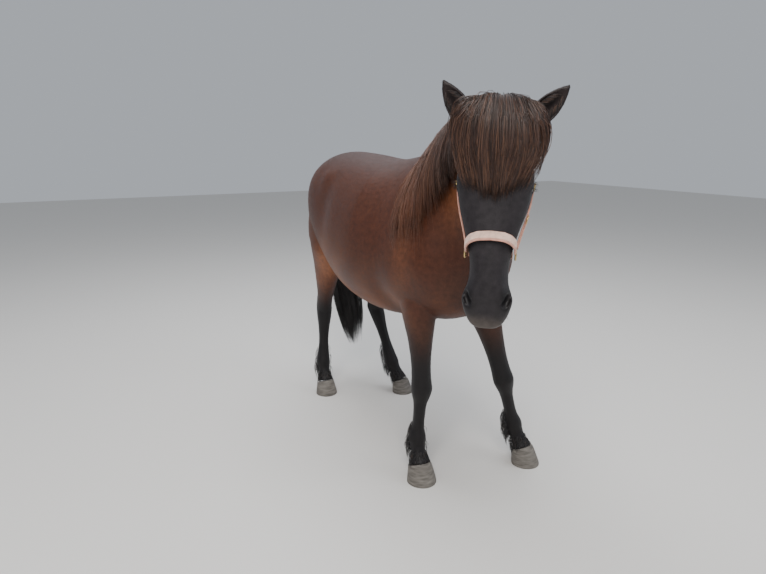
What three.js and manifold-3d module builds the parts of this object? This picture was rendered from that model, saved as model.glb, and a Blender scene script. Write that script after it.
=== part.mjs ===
// An Icelandic horse, dark bay, its left hind leg ahead of the right and its left foreleg set out to the
// side, its head turned to its right and held low, with a webbing halter on. Life size, in millimetres.
// The body is drawn in its own directions, ahead, left and up, and the finished group is turned so that
// the horse looks along -Y, with its left side on +X and its hooves on the floor at Z 0.
import * as THREE from "three";
import { mergeVertices } from "three/addons/utils/BufferGeometryUtils.js";
import Module from "manifold-3d";

const wasm = await Module();
wasm.setup();

// Driving sizes.
const WITHERS = 1362;
const CROUP = 1352;
const BELLY = 638;
const BARREL_HALF = 300;
const RUMP = -738;
const GAP = 0.3;
// Where the middle of the horse's bounding box lies, ahead and left of the body's own origin.
const CENTRE = { ahead: 139, left: 34 };

const at = (ahead, left, up) => new THREE.Vector3(ahead, left, up);
const degrees = THREE.MathUtils.degToRad;
const SIDES = [
  { name: "left", sign: 1 },
  { name: "right", sign: -1 },
];

// Smooth value of one named size at a place along a table whose rows are in order of `at`.
function sizeAt(rows, key, place) {
  const last = rows.length - 1;
  if (place <= rows[0].at) return rows[0][key];
  if (place >= rows[last].at) return rows[last][key];
  let i = 0;
  while (rows[i + 1].at < place) i++;
  const slope = (k) => {
    const a = rows[Math.max(k - 1, 0)];
    const b = rows[Math.min(k + 1, last)];
    return (b[key] - a[key]) / (b.at - a.at);
  };
  const [p, q] = [rows[i], rows[i + 1]];
  const step = q.at - p.at;
  const u = (place - p.at) / step;
  const u2 = u * u;
  const u3 = u2 * u;
  return (
    p[key] * (2 * u3 - 3 * u2 + 1) +
    q[key] * (3 * u2 - 2 * u3) +
    slope(i) * step * (u3 - 2 * u2 + u) +
    slope(i + 1) * step * (u3 - u2)
  );
}

const rowAt = (rows, place) =>
  Object.fromEntries(Object.keys(rows[0]).map((key) => [key, sizeAt(rows, key, place)]));

// Closed solid from rings of points, each ring with the same number, closed by a fan at both ends.
function solidOfRings(rings) {
  const count = rings[0].length;
  const points = rings.flat();
  const middle = (ring) => ring.reduce((sum, p) => sum.add(p), at(0, 0, 0)).divideScalar(count);
  const [first, last] = [points.length, points.length + 1];
  points.push(middle(rings[0]), middle(rings[rings.length - 1]));
  const faces = [];
  for (let r = 0; r < rings.length - 1; r++)
    for (let k = 0; k < count; k++) {
      const [a, b] = [r * count + k, r * count + ((k + 1) % count)];
      faces.push([a, b, b + count], [a, b + count, a + count]);
    }
  const end = (rings.length - 1) * count;
  for (let k = 0; k < count; k++) {
    const next = (k + 1) % count;
    faces.push([first, next, k], [last, end + k, end + next]);
  }
  return solidOfFaces(points, faces);
}

// Manifold solid from points and triangles, turned so that its faces point out.
function solidOfFaces(points, faces) {
  const geometry = new THREE.BufferGeometry()
    .setAttribute("position", new THREE.Float32BufferAttribute(points.flatMap((p) => p.toArray()), 3))
    .setIndex(faces.flat());
  return solidOf(geometry);
}

function solidOf(geometry) {
  const plain = new THREE.BufferGeometry()
    .setAttribute("position", geometry.getAttribute("position"))
    .setIndex(geometry.index);
  const merged = mergeVertices(plain, 1e-4);
  const position = merged.attributes.position;
  const order = new Uint32Array(merged.index.array);
  let volume = 0;
  const corner = (i) => new THREE.Vector3().fromBufferAttribute(position, order[i]);
  for (let i = 0; i < order.length; i += 3)
    volume += corner(i).dot(corner(i + 1).cross(corner(i + 2)));
  if (volume < 0)
    for (let i = 0; i < order.length; i += 3)
      [order[i + 1], order[i + 2]] = [order[i + 2], order[i + 1]];
  return new wasm.Manifold(
    new wasm.Mesh({ numProp: 3, vertProperties: position.array, triVerts: order }),
  );
}

const joined = (solids) => solids.reduce((sum, solid) => sum.add(solid));
const geometryOf = (solid) => {
  const { vertProperties, triVerts } = solid.getMesh();
  return new THREE.BufferGeometry()
    .setAttribute("position", new THREE.BufferAttribute(new Float32Array(vertProperties), 3))
    .setIndex(new THREE.BufferAttribute(new Uint32Array(triVerts), 1));
};

// The largest closed surface of a solid, looked for again once its points are rounded.
function largest(solid) {
  let pieces = solid.decompose();
  let best = solid;
  for (let i = 0; i < 4 && (i < 2 || pieces.length > 1); i++) {
    best = pieces.reduce((most, piece) => (piece.volume() > most.volume() ? piece : most));
    pieces = solidOf(geometryOf(best)).decompose();
  }
  return best;
}

// A form is a run of oval rings along a line. place(t) gives a ring's centre and its side and up
// directions, and size(t) its half width, its reach up and down, and how it narrows or squares.
class Form {
  constructor({ from, to, steps, segments, place, size, swell = [], local = (p) => p.clone() }) {
    Object.assign(this, { from, to, steps, segments, place, size, swell, local });
  }

  ring(t, grow = 0, segments = this.segments) {
    const { centre, side, up } = this.place(t);
    const s = this.size(t);
    const points = [];
    for (let k = 0; k < segments; k++) {
      const angle = (2 * Math.PI * k) / segments;
      const [c, v] = [Math.cos(angle), Math.sin(angle)];
      const square = v > 0 ? (s.squareTop ?? 2) : (s.squareBottom ?? 2);
      const narrow = v > 0 ? (s.narrowTop ?? 0) : (s.narrowBottom ?? 0);
      const across = Math.sign(c) * Math.abs(c) ** (2 / square) * (1 - narrow * v * v);
      const reach = Math.sign(v) * Math.abs(v) ** (2 / square);
      const x = across * (s.half + grow);
      const y = reach * ((v > 0 ? s.top : s.bottom) + grow);
      const p = centre.clone().addScaledVector(side, x).addScaledVector(up, y);
      points.push(this.swelled(p, centre));
    }
    return points;
  }

  // Moves a point in or out from its ring's centre by the named muscles and hollows near it.
  swelled(p, centre) {
    let push = 0;
    for (const { place, spread, by } of this.swell) {
      const d = this.local(p);
      if (place[1] > 0) d.y = Math.abs(d.y);
      d.sub(at(...place));
      push += by * Math.exp(-((d.x / spread[0]) ** 2 + (d.y / spread[1]) ** 2 + (d.z / spread[2]) ** 2));
    }
    return p.addScaledVector(p.clone().sub(centre).normalize(), push);
  }

  solid(grow = 0, detail = 1) {
    const rings = [];
    const steps = Math.round(this.steps * detail);
    for (let i = 0; i <= steps; i++) {
      const t = this.from + ((this.to - this.from) * i) / steps;
      rings.push(this.ring(t, grow, Math.round(this.segments * detail)));
    }
    return solidOfRings(rings);
  }

  // Point on the surface at a ring and an angle, in degrees from the left side towards up.
  surface(t, turn, lift) {
    const { centre, side, up } = this.place(t);
    const angle = degrees(turn);
    const direction = side.clone().multiplyScalar(Math.cos(angle)).addScaledVector(up, Math.sin(angle));
    return centre.clone().addScaledVector(direction, this.reach(t, angle) + lift);
  }

  // How far the ring reaches from its centre in a direction given by its angle.
  reach(t, angle) {
    const { centre, side, up } = this.place(t);
    const ring = this.ring(t, 0, 36).map((p) => {
      const d = p.sub(centre);
      return { angle: Math.atan2(d.dot(up), d.dot(side)), far: d.length() };
    });
    const turn = 2 * Math.PI;
    const gap = (r) => (((r.angle - angle) % turn) + turn) % turn;
    const after = ring.reduce((best, r) => (gap(r) < gap(best) ? r : best));
    const before = ring.reduce((best, r) => (gap(r) > gap(best) ? r : best));
    const span = gap(after) + turn - gap(before);
    const share = span < 1e-9 ? 0 : gap(after) / span;
    return after.far * (1 - share) + before.far * share;
  }
}

// Trunk and neck are one form, from the buttocks to the back of the head. Each ring has its middle
// ahead, left and up, leans back at its top, and turns to the left by degrees. Its top and bottom
// reach from the middle.
const upright = (place, topUp, bottomUp, half, waist) => ({
  at: place, ahead: place, left: 0, up: waist, lean: 0, turn: 0,
  top: topUp - waist, bottom: waist - bottomUp, half,
});
const trunkRows = [
  upright(RUMP, 1180, 1080, 30, 1130),
  upright(-715, 1238, 960, 112, 1100),
  upright(-660, 1290, 880, 172, 1085),
  upright(-560, 1332, 808, 222, 1065),
  upright(-440, CROUP, 758, 252, 1050),
  upright(-320, CROUP - 2, 690, 268, 1020),
  upright(-180, 1342, 650, 288, 980),
  upright(-30, 1330, 637, BARREL_HALF, 955),
  upright(110, 1328, BELLY, BARREL_HALF, 950),
  upright(230, 1342, 652, 280, 955),
  upright(330, WITHERS, 672, 254, 965),
  { at: 420, ahead: 406, left: 0, up: 972, lean: 7, turn: 0, top: 392, bottom: 284, half: 240 },
  { at: 500, ahead: 471, left: 0, up: 984, lean: 12, turn: 0, top: 384, bottom: 278, half: 230 },
  { at: 570, ahead: 532, left: 0, up: 1013, lean: 16, turn: 0, top: 372, bottom: 266, half: 214 },
  { at: 630, ahead: 580, left: 0, up: 1066, lean: 19.5, turn: -1, top: 340, bottom: 252, half: 186 },
  { at: 685, ahead: 612, left: -2, up: 1130, lean: 20, turn: -4, top: 298, bottom: 232, half: 158 },
  { at: 735, ahead: 641, left: -8, up: 1189, lean: 17.5, turn: -9, top: 260, bottom: 205, half: 134 },
  { at: 790, ahead: 684, left: -20, up: 1237, lean: 13.5, turn: -16, top: 232, bottom: 182, half: 118 },
  { at: 850, ahead: 737, left: -42, up: 1278, lean: 9, turn: -25, top: 208, bottom: 170, half: 107 },
  { at: 910, ahead: 797, left: -76, up: 1307, lean: 4.5, turn: -32, top: 190, bottom: 156, half: 98 },
  { at: 970, ahead: 857, left: -116, up: 1332, lean: 0.5, turn: -36, top: 170, bottom: 142, half: 90 },
  { at: 1030, ahead: 912, left: -157, up: 1352, lean: -3, turn: -39, top: 150, bottom: 132, half: 84 },
  { at: 1080, ahead: 952, left: -188, up: 1366, lean: -5, turn: -40, top: 130, bottom: 118, half: 78 },
];
const trunkMuscles = [
  { place: [470, 200, 1080], spread: [110, 90, 190], by: 12 },
  { place: [585, 170, 950], spread: [80, 80, 90], by: 18 },
  { place: [400, 215, 890], spread: [100, 90, 110], by: 16 },
  { place: [285, 190, 760], spread: [50, 100, 110], by: -12 },
  { place: [-300, 215, 1225], spread: [60, 70, 60], by: 12 },
  { place: [-235, 260, 1090], spread: [80, 80, 120], by: -14 },
  { place: [-480, 190, 1200], spread: [130, 90, 110], by: 12 },
  { place: [690, 0, 930], spread: [70, 30, 120], by: -14 },
];
const trunk = new Form({
  from: RUMP,
  to: 1080,
  steps: 36,
  segments: 24,
  place: (t) => {
    const row = rowAt(trunkRows, t);
    const ahead = at(Math.cos(degrees(row.turn)), Math.sin(degrees(row.turn)), 0);
    const side = at(-ahead.y, ahead.x, 0);
    const up = at(0, 0, Math.cos(degrees(row.lean))).addScaledVector(ahead, -Math.sin(degrees(row.lean)));
    return { centre: at(row.ahead, row.left, row.up), side, up };
  },
  size: (t) => {
    const row = rowAt(trunkRows, t);
    const share = Math.min(Math.max((t - 120) / 160, 0), 1);
    return { ...row, squareTop: 2.15, squareBottom: 2.15, narrowTop: 0.36 * share };
  },
  swell: trunkMuscles,
});

// Head: its own directions run down the face, to the head's left, and out of the face.
const HEAD = { poll: at(1034, -240, 1487), turn: -40, nod: -12, tilt: -1 };
const headTurn = new THREE.Matrix4().makeRotationFromEuler(
  new THREE.Euler(
    degrees(HEAD.tilt),
    degrees(HEAD.nod),
    degrees(HEAD.turn),
    "ZYX",
  ),
);
const DOWN = at(0, 0, -1).transformDirection(headTurn);
const LEFT = at(0, 1, 0).transformDirection(headTurn);
const OUT = at(1, 0, 0).transformDirection(headTurn);
const onHead = (down, left, out) =>
  HEAD.poll.clone().addScaledVector(DOWN, down).addScaledVector(LEFT, left).addScaledVector(OUT, out);

// out is how far the face stands out, mid is where the head is widest, and jaw is the underside.
const headRows = [
  { at: -42, out: -52, mid: -72, jaw: -95, half: 40, square: 2.1, narrow: 0.1 },
  { at: -25, out: -18, mid: -72, jaw: -135, half: 68, square: 2.2, narrow: 0.1 },
  { at: 0, out: 0, mid: -68, jaw: -165, half: 80, square: 2.3, narrow: 0.15 },
  { at: 50, out: 12, mid: -62, jaw: -190, half: 88, square: 2.5, narrow: 0.3 },
  { at: 100, out: 17, mid: -58, jaw: -208, half: 93, square: 2.7, narrow: 0.4 },
  { at: 150, out: 18, mid: -52, jaw: -225, half: 98, square: 2.8, narrow: 0.42 },
  { at: 195, out: 16, mid: -48, jaw: -238, half: 102, square: 2.8, narrow: 0.42 },
  { at: 240, out: 11, mid: -50, jaw: -240, half: 96, square: 2.7, narrow: 0.4 },
  { at: 290, out: 6, mid: -54, jaw: -222, half: 85, square: 2.6, narrow: 0.38 },
  { at: 340, out: 3, mid: -56, jaw: -190, half: 72, square: 2.6, narrow: 0.35 },
  { at: 390, out: 0, mid: -58, jaw: -162, half: 62, square: 2.5, narrow: 0.3 },
  { at: 440, out: -3, mid: -58, jaw: -142, half: 57, square: 2.4, narrow: 0.25 },
  { at: 490, out: -7, mid: -58, jaw: -130, half: 58, square: 2.3, narrow: 0.2 },
  { at: 530, out: -14, mid: -60, jaw: -126, half: 66, square: 2.3, narrow: 0.2 },
  { at: 560, out: -24, mid: -62, jaw: -122, half: 65, square: 2.3, narrow: 0.2 },
  { at: 585, out: -37, mid: -68, jaw: -117, half: 56, square: 2.4, narrow: 0.15 },
  { at: 605, out: -52, mid: -76, jaw: -106, half: 42, square: 2.3, narrow: 0.1 },
  { at: 614, out: -64, mid: -80, jaw: -95, half: 26, square: 2.2, narrow: 0.1 },
];
const head = new Form({
  from: headRows[0].at,
  to: headRows[headRows.length - 1].at,
  steps: 30,
  segments: 26,
  place: (t) => ({ centre: onHead(t, 0, sizeAt(headRows, "mid", t)), side: LEFT, up: OUT }),
  size: (t) => {
    const row = rowAt(headRows, t);
    return {
      half: row.half,
      top: row.out - row.mid,
      bottom: row.mid - row.jaw,
      squareTop: row.square,
      squareBottom: 2.1,
      narrowBottom: row.narrow,
    };
  },
  local: (p) => {
    const d = p.clone().sub(HEAD.poll);
    return at(d.dot(DOWN), d.dot(LEFT), d.dot(OUT));
  },
  swell: [
    { place: [238, 85, -110], spread: [80, 60, 62], by: 13 },
    { place: [182, 88, -30], spread: [34, 30, 24], by: 7 },
    { place: [300, 70, -34], spread: [90, 26, 14], by: 4 },
    { place: [518, 58, -42], spread: [34, 26, 26], by: 8 },
    { place: [578, 0, -116], spread: [30, 40, 26], by: 9 },
  ],
});

// Legs: joints from the trunk down, and the leg's reach ahead, back and to each side of its bones.
const foreRows = [
  { at: 0, fore: 105, back: 110, side: 60 },
  { at: 0.5, fore: 100, back: 124, side: 76 },
  { at: 1, fore: 80, back: 112, side: 72 },
  { at: 1.2, fore: 70, back: 94, side: 64 },
  { at: 1.45, fore: 57, back: 61, side: 50 },
  { at: 1.7, fore: 45, back: 46, side: 42 },
  { at: 1.88, fore: 43, back: 44, side: 42 },
  { at: 2, fore: 48, back: 46, side: 46 },
  { at: 2.12, fore: 42, back: 42, side: 41 },
  { at: 2.28, fore: 30, back: 37, side: 30 },
  { at: 2.5, fore: 26, back: 34, side: 26 },
  { at: 2.75, fore: 27, back: 36, side: 27 },
  { at: 2.9, fore: 35, back: 43, side: 36 },
  { at: 3, fore: 38, back: 46, side: 39 },
  { at: 3.2, fore: 32, back: 42, side: 34 },
  { at: 3.5, fore: 31, back: 36, side: 32 },
  { at: 3.8, fore: 37, back: 36, side: 40 },
  { at: 4, fore: 44, back: 36, side: 48 },
];
const hindRows = [
  { at: 0, fore: 165, back: 190, side: 90 },
  { at: 0.5, fore: 175, back: 195, side: 98 },
  { at: 1, fore: 135, back: 165, side: 86 },
  { at: 1.25, fore: 98, back: 118, side: 70 },
  { at: 1.5, fore: 72, back: 86, side: 56 },
  { at: 1.75, fore: 50, back: 64, side: 43 },
  { at: 1.9, fore: 46, back: 72, side: 41 },
  { at: 2, fore: 50, back: 64, side: 43 },
  { at: 2.15, fore: 46, back: 47, side: 40 },
  { at: 2.35, fore: 33, back: 38, side: 32 },
  { at: 2.6, fore: 28, back: 34, side: 28 },
  { at: 2.85, fore: 33, back: 40, side: 34 },
  { at: 3, fore: 38, back: 46, side: 39 },
  { at: 3.2, fore: 32, back: 42, side: 34 },
  { at: 3.5, fore: 31, back: 36, side: 32 },
  { at: 3.8, fore: 35, back: 35, side: 37 },
  { at: 4, fore: 41, back: 34, side: 44 },
];
// heading is how far the toe points to the left of straight ahead, in degrees.
const LEGS = [
  {
    name: "foreleg_right",
    rows: foreRows,
    joints: [at(430, -118, 965), at(440, -130, 785), at(440, -112, 400), at(430, -124, 165), at(468, -132, 66)],
    heading: -4,
    cut: 770,
    hoof: "hoof_fore_right",
    size: 1,
  },
  {
    name: "foreleg_left",
    rows: foreRows,
    joints: [at(440, 118, 965), at(468, 150, 780), at(514, 258, 396), at(516, 330, 165), at(556, 350, 66)],
    heading: 14,
    cut: 770,
    hoof: "hoof_fore_left",
    size: 1,
  },
  {
    name: "hindleg_right",
    rows: hindRows,
    joints: [at(-480, -122, 1100), at(-440, -158, 860), at(-618, -122, 478), at(-588, -148, 165), at(-552, -152, 66)],
    heading: -6,
    cut: 800,
    hoof: "hoof_hind_right",
    size: 0.94,
  },
  {
    name: "hindleg_left",
    rows: hindRows,
    joints: [at(-470, 122, 1100), at(-400, 160, 860), at(-556, 174, 462), at(-412, 208, 165), at(-372, 238, 66)],
    heading: 16,
    cut: 800,
    hoof: "hoof_hind_left",
    size: 0.94,
  },
];

function legForm({ rows, joints, heading }) {
  const turn = degrees(heading);
  const line = (t) => {
    const i = Math.min(Math.floor(t), joints.length - 2);
    return joints[i].clone().lerp(joints[i + 1], t - i);
  };
  return new Form({
    from: 0,
    to: 4,
    steps: 28,
    segments: 12,
    place: (t) => {
      const along = line(Math.min(t + 0.22, 4)).sub(line(Math.max(t - 0.22, 0))).normalize();
      const share = Math.min(t / 4, 1);
      const ahead = at(Math.cos(turn * share), Math.sin(turn * share), 0);
      const side = along.clone().cross(ahead).normalize();
      return { centre: line(t), side, up: side.clone().cross(along).normalize() };
    },
    size: (t) => {
      const row = rowAt(rows, t);
      return { half: row.side, top: row.fore, bottom: row.back };
    },
  });
}

// Hoof: flat on the floor, its wall sloping up and in to a coronet that drops towards the heels.
const hoofRows = [
  { at: 0, up: 0, tip: 0, shift: 0, fore: 66, back: 52, side: 63 },
  { at: 0.12, up: 7, tip: 0.04, shift: -1, fore: 65, back: 52, side: 62.5 },
  { at: 0.55, up: 36, tip: 0.2, shift: -9, fore: 56, back: 48, side: 57 },
  { at: 0.9, up: 62, tip: 0.4, shift: -16, fore: 48, back: 44, side: 51 },
  { at: 1, up: 69, tip: 0.42, shift: -18, fore: 42, back: 40, side: 46 },
];
function hoofForm({ joints, heading, size }) {
  const turn = degrees(heading);
  const ahead = at(Math.cos(turn), Math.sin(turn), 0);
  const side = at(-Math.sin(turn), Math.cos(turn), 0);
  const coronet = joints[4];
  const ground = at(coronet.x, coronet.y, 0).addScaledVector(ahead, 17);
  return new Form({
    from: 0,
    to: 1,
    steps: 4,
    segments: 18,
    place: (t) => {
      const row = rowAt(hoofRows, t);
      const centre = ground.clone().addScaledVector(ahead, row.shift * size).add(at(0, 0, row.up * size));
      return { centre, side, up: ahead.clone().add(at(0, 0, row.tip)).normalize() };
    },
    size: (t) => {
      const row = rowAt(hoofRows, t);
      return { half: row.side * size, top: row.fore * size, bottom: row.back * size };
    },
  });
}

// Feather: locks behind a fetlock that lie close and hang towards the heels.
function feathers({ joints, heading }) {
  const turn = degrees(heading);
  return [-38, 0, 38].map((off, i) => {
    const back = at(-Math.cos(turn + degrees(off)), -Math.sin(turn + degrees(off)), 0);
    const start = joints[3].clone().add(at(0, 0, 30));
    const points = [[12, 0], [38, -14], [47, -44], [40, -84 - 8 * (i % 2)]].map(([out, down]) =>
      start.clone().addScaledVector(back, out).add(at(0, 0, down)),
    );
    return lock(points, back, 44, 20, 3);
  });
}

// A box between two heights of its own frame: `origin`, with `normal` as its up direction.
function slab(low, high, origin = at(0, 0, 0), normal = at(0, 0, 1)) {
  const geometry = new THREE.BoxGeometry(4000, 4000, high - low);
  geometry.translate(0, 0, (high + low) / 2);
  geometry.applyQuaternion(new THREE.Quaternion().setFromUnitVectors(at(0, 0, 1), normal.clone().normalize()));
  geometry.translate(...origin.toArray());
  return solidOf(geometry);
}

// An egg-shaped solid with its half sizes along three directions.
function egg(centre, directions, halves, [around, rings] = [12, 8]) {
  const geometry = new THREE.SphereGeometry(1, around, rings);
  const [x, y, z] = directions.map((d, i) => d.clone().normalize().multiplyScalar(halves[i]));
  geometry.applyMatrix4(new THREE.Matrix4().makeBasis(x, y, z).setPosition(centre));
  return solidOf(geometry);
}

// A ring of round wire, lying square to a direction.
function wireRing(centre, normal, radius, wire) {
  const geometry = new THREE.TorusGeometry(radius, wire, 5, 14);
  geometry.applyQuaternion(new THREE.Quaternion().setFromUnitVectors(at(0, 0, 1), normal.clone().normalize()));
  geometry.translate(...centre.toArray());
  return solidOf(geometry);
}

// A flat lock of hair along a smooth line, widest a third of the way down and thin at its tip.
function lock(points, facing, width, thick, steps = 4) {
  const line = new THREE.CatmullRomCurve3(points);
  const rings = [];
  for (let i = 0; i <= steps; i++) {
    const t = i / steps;
    const along = line.getTangent(t);
    const across = facing.clone().cross(along).normalize();
    const off = along.clone().cross(across).normalize();
    const share = Math.max(0.08, t < 0.3 ? 0.75 + t * 0.8 : 1 - ((t - 0.3) / 0.7) ** 2);
    const middle = line.getPoint(t);
    const ring = [];
    for (const [a, b] of [[1, 0], [0, 1], [-1, 0], [0, -1]])
      ring.push(
        middle
          .clone()
          .addScaledVector(across, (a * width * share) / 2)
          .addScaledVector(off, (b * thick * Math.max(share, 0.25)) / 2),
      );
    rings.push(ring);
  }
  return solidOfRings(rings);
}

const nodes = [];
function node(name, solid, { colour, roughness = 0.8, metalness = 0 }) {
  const geometry = geometryOf(largest(solid));
  geometry.computeVertexNormals();
  const mesh = new THREE.Mesh(geometry, new THREE.MeshStandardMaterial({ color: colour, roughness, metalness }));
  mesh.name = name;
  nodes.push(mesh);
}

const COAT = { colour: 0x3a2620, roughness: 0.75 };
const POINTS = { colour: 0x17141a, roughness: 0.8 };
const FACE = { colour: 0x24232a, roughness: 0.7 };
const HORN = { colour: 0x8d8778, roughness: 0.9 };
const EYEBALL = { colour: 0x0d0907, roughness: 0.1 };
const WEBBING = { colour: 0xd9a48f, roughness: 0.9 };
const BRASS = { colour: 0xb8935a, roughness: 0.35, metalness: 1 };

// Legs and hooves. The top of each leg belongs to the torso.
const trunkSolid = trunk.solid();
const trunkGrown = trunk.solid(GAP);
const upperLegs = [];
for (const leg of LEGS) {
  const whole = legForm(leg).solid();
  const hoof = hoofForm(leg);
  upperLegs.push(whole.intersect(slab(leg.cut + GAP, 2000)));
  const feathered = joined([whole.intersect(slab(0, leg.cut)), ...feathers(leg)]);
  const hoofRoom = joined([hoof.solid(GAP), slab(-200, 6)]);
  node(leg.name, feathered.subtract(trunkGrown).subtract(hoofRoom), POINTS);
  node(leg.hoof, hoof.solid(), HORN);
}

// The neck is parted from the torso by a thin cut in front of the shoulder.
const NECK_CUT = { origin: at(622, 0, 1180), normal: at(Math.cos(degrees(24)), 0, Math.sin(degrees(24))) };
const cutAt = (low, high) => slab(low, high, NECK_CUT.origin, NECK_CUT.normal);
node("torso", joined([trunkSolid, ...upperLegs]).subtract(cutAt(0, 1500)), COAT);

// Eyes, with lids that leave an almond opening, and ears with an open cup.
const EYE = { down: 202, left: 88, out: -56, radius: 21 };
const EAR = { down: 16, left: 92, out: -60, length: 138 };
const lids = [];
const openings = [];
const earShells = [];
const features = [];
for (const { name, sign } of SIDES) {
  const centre = onHead(EYE.down, sign * EYE.left, EYE.out);
  const outward = LEFT.clone().multiplyScalar(sign).addScaledVector(OUT, 0.35).normalize();
  const along = DOWN.clone().addScaledVector(OUT, 0.3).normalize();
  const across = outward.clone().cross(along);
  const frame = [along, across, outward];
  lids.push(egg(centre, frame, [27, 24, 25], [12, 8]));
  openings.push(egg(centre, frame, [EYE.radius + GAP, EYE.radius + GAP, EYE.radius + GAP], [12, 8]));
  openings.push(egg(centre.clone().addScaledVector(outward, 22), frame, [17, 9, 14], [12, 7]));
  features.push([`eye_${name}`, egg(centre, frame, [EYE.radius, EYE.radius, EYE.radius], [12, 8]), EYEBALL]);

  const lean = sign > 0 ? 1.3 : 0.92;
  const base = onHead(EAR.down, sign * EAR.left, EAR.out);
  const rise = DOWN.clone().multiplyScalar(-0.75).addScaledVector(LEFT, sign * 0.62 * lean);
  rise.addScaledVector(OUT, 0.14).normalize();
  const facing = OUT.clone().addScaledVector(LEFT, sign * 0.25);
  const wide = rise.clone().cross(facing).normalize();
  const deep = wide.clone().cross(rise).normalize();
  const earRows = [
    { at: -0.16, half: 17, deep: 15 },
    { at: 0, half: 26, deep: 22 },
    { at: 0.25, half: 34, deep: 24 },
    { at: 0.5, half: 32, deep: 20 },
    { at: 0.75, half: 21, deep: 13 },
    { at: 0.93, half: 8, deep: 7 },
    { at: 1, half: 2, deep: 2.5 },
  ];
  const ear = (shift, thin, from) =>
    new Form({
      from,
      to: 1,
      steps: 7,
      segments: 10,
      place: (t) => ({
        centre: base
          .clone()
          .addScaledVector(rise, t * EAR.length)
          .addScaledVector(wide, -sign * 7 * t * t)
          .addScaledVector(deep, shift),
        side: wide,
        up: deep,
      }),
      size: (t) => {
        const row = rowAt(earRows, t);
        const half = Math.max(row.half - thin, 0.8);
        return { half, top: Math.max(row.deep - thin, 0.8), bottom: Math.max(row.deep - thin, 0.8) };
      },
    });
  const shell = ear(0, 0, -0.16);
  earShells.push(shell.solid(GAP));
  features.push([`ear_${name}`, shell.solid().subtract(ear(10, 4.5, 0.12).solid()), POINTS]);
}
const ears = joined(earShells);

// Nostrils and the line of the mouth.
const nostrils = SIDES.map(({ sign }) =>
  egg(
    onHead(524, sign * 62, -32),
    [
      DOWN.clone().addScaledVector(LEFT, sign * -0.35),
      LEFT.clone().multiplyScalar(sign).addScaledVector(DOWN, 0.35),
      OUT,
    ],
    [21, 9, 20],
  ),
);
const mouth = slab(-1.3, 1.3, onHead(560, 0, -92), OUT.clone().addScaledVector(DOWN, 0.08))
  .intersect(slab(506, 640, HEAD.poll, DOWN))
  .subtract(head.solid(-8, 0.45));
const skull = joined([head.solid(), ...lids]).subtract(joined([...openings, ...nostrils, mouth]));

// Halter: each strap is a slice of a sleeve that stands off the head and neck.
const RINGS = SIDES.map(({ name, sign }) => ({ name, centre: onHead(394, sign * 72, -64), normal: LEFT }));
const body = [trunk, head];
const sleeve = (inner, outer) =>
  joined(body.map((form) => form.solid(outer, 0.6))).subtract(joined(body.map((form) => form.solid(inner, 0.6))));
const strap = (from, to, width, inner, outer, grow, keep) => {
  const along = to.clone().sub(from);
  const normal = along.clone().cross(LEFT).normalize();
  const half = width / 2 + grow;
  return keep.reduce(
    (solid, part) => solid.intersect(part),
    sleeve(inner - grow, outer + grow).intersect(slab(-half, half, from, normal)),
  );
};
const downFrom = (low, high) => slab(low, high, HEAD.poll, DOWN);
const outFrom = (low, high) => slab(low, high, HEAD.poll, OUT);
const ringRoom = joined(
  RINGS.map(({ centre }) => egg(centre, [DOWN, OUT, LEFT], [19.5, 19.5, 60], [12, 6])),
);
const noseFrom = onHead(352, 0, 0);
const noseTo = onHead(394, 0, -64);
const straps = {
  noseband: (grow) => strap(noseFrom, noseTo, 31, 2.5, 9, grow, [outFrom(-64, 60), downFrom(300, 440)]),
  chin_strap: (grow) =>
    strap(noseTo, onHead(404, 0, -160), 20, 2.5, 7, grow, [outFrom(-260, -70), downFrom(300, 470)]),
  crownpiece: (grow) =>
    strap(onHead(190, 0, -92), onHead(-30, 0, -112), 24, 4, 8, grow, [downFrom(-120, 186 + grow)]),
  throat_strap: (grow) =>
    strap(onHead(192, 0, -104), onHead(236, 0, -236), 20, 4, 8, grow, [
      outFrom(-330, -106 + grow),
      downFrom(120, 330),
    ]),
};
for (const { name, sign } of SIDES)
  straps[`cheekpiece_${name}`] = (grow) =>
    strap(onHead(192, 0, -94), onHead(394, 0, -64), 16, 7, 11, grow, [
      slab(2, 400, HEAD.poll, LEFT.clone().multiplyScalar(sign)),
      downFrom(196 - grow, 368),
    ]);
for (const [name, cut] of Object.entries(straps))
  node(`halter_${name}`, cut(0).subtract(joined([ringRoom, ears])), WEBBING);
const halterRoom = joined(Object.values(straps).map((cut) => cut(0.4)));
for (const { name, centre, normal } of RINGS)
  node(`halter_ring_${name}`, wireRing(centre, normal, 15.5, 3.2), BRASS);

// Tail: the dock with a core to half way, and locks from it out to the tip.
const TAIL = { reach: 0.46, locks: 11, width: 84, thick: 20 };
const tailLine = new THREE.CatmullRomCurve3([
  at(-686, 0, 1196),
  at(-738, 4, 1190),
  at(-782, 8, 1110),
  at(-790, 24, 960),
  at(-774, 56, 700),
  at(-738, 92, 430),
  at(-706, 112, 200),
]);
const tailRows = [
  { at: 0, half: 34, deep: 30 },
  { at: 0.1, half: 36, deep: 34 },
  { at: 0.3, half: 56, deep: 48 },
  { at: 0.6, half: 92, deep: 68 },
  { at: 0.85, half: 90, deep: 58 },
  { at: 1, half: 52, deep: 32 },
];
const tail = new Form({
  from: 0,
  to: TAIL.reach,
  steps: 9,
  segments: 10,
  place: (t) => {
    const along = tailLine.getTangent(t);
    const side = at(0, 1, 0);
    return { centre: tailLine.getPoint(t), side, up: along.clone().cross(side).normalize() };
  },
  size: (t) => {
    const row = rowAt(tailRows, t);
    const end = Math.min(1, Math.max(0.35, (TAIL.reach - t) / 0.12));
    return { half: row.half * end, top: row.deep * end, bottom: row.deep * end };
  },
});
const tailLocks = [];
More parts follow.
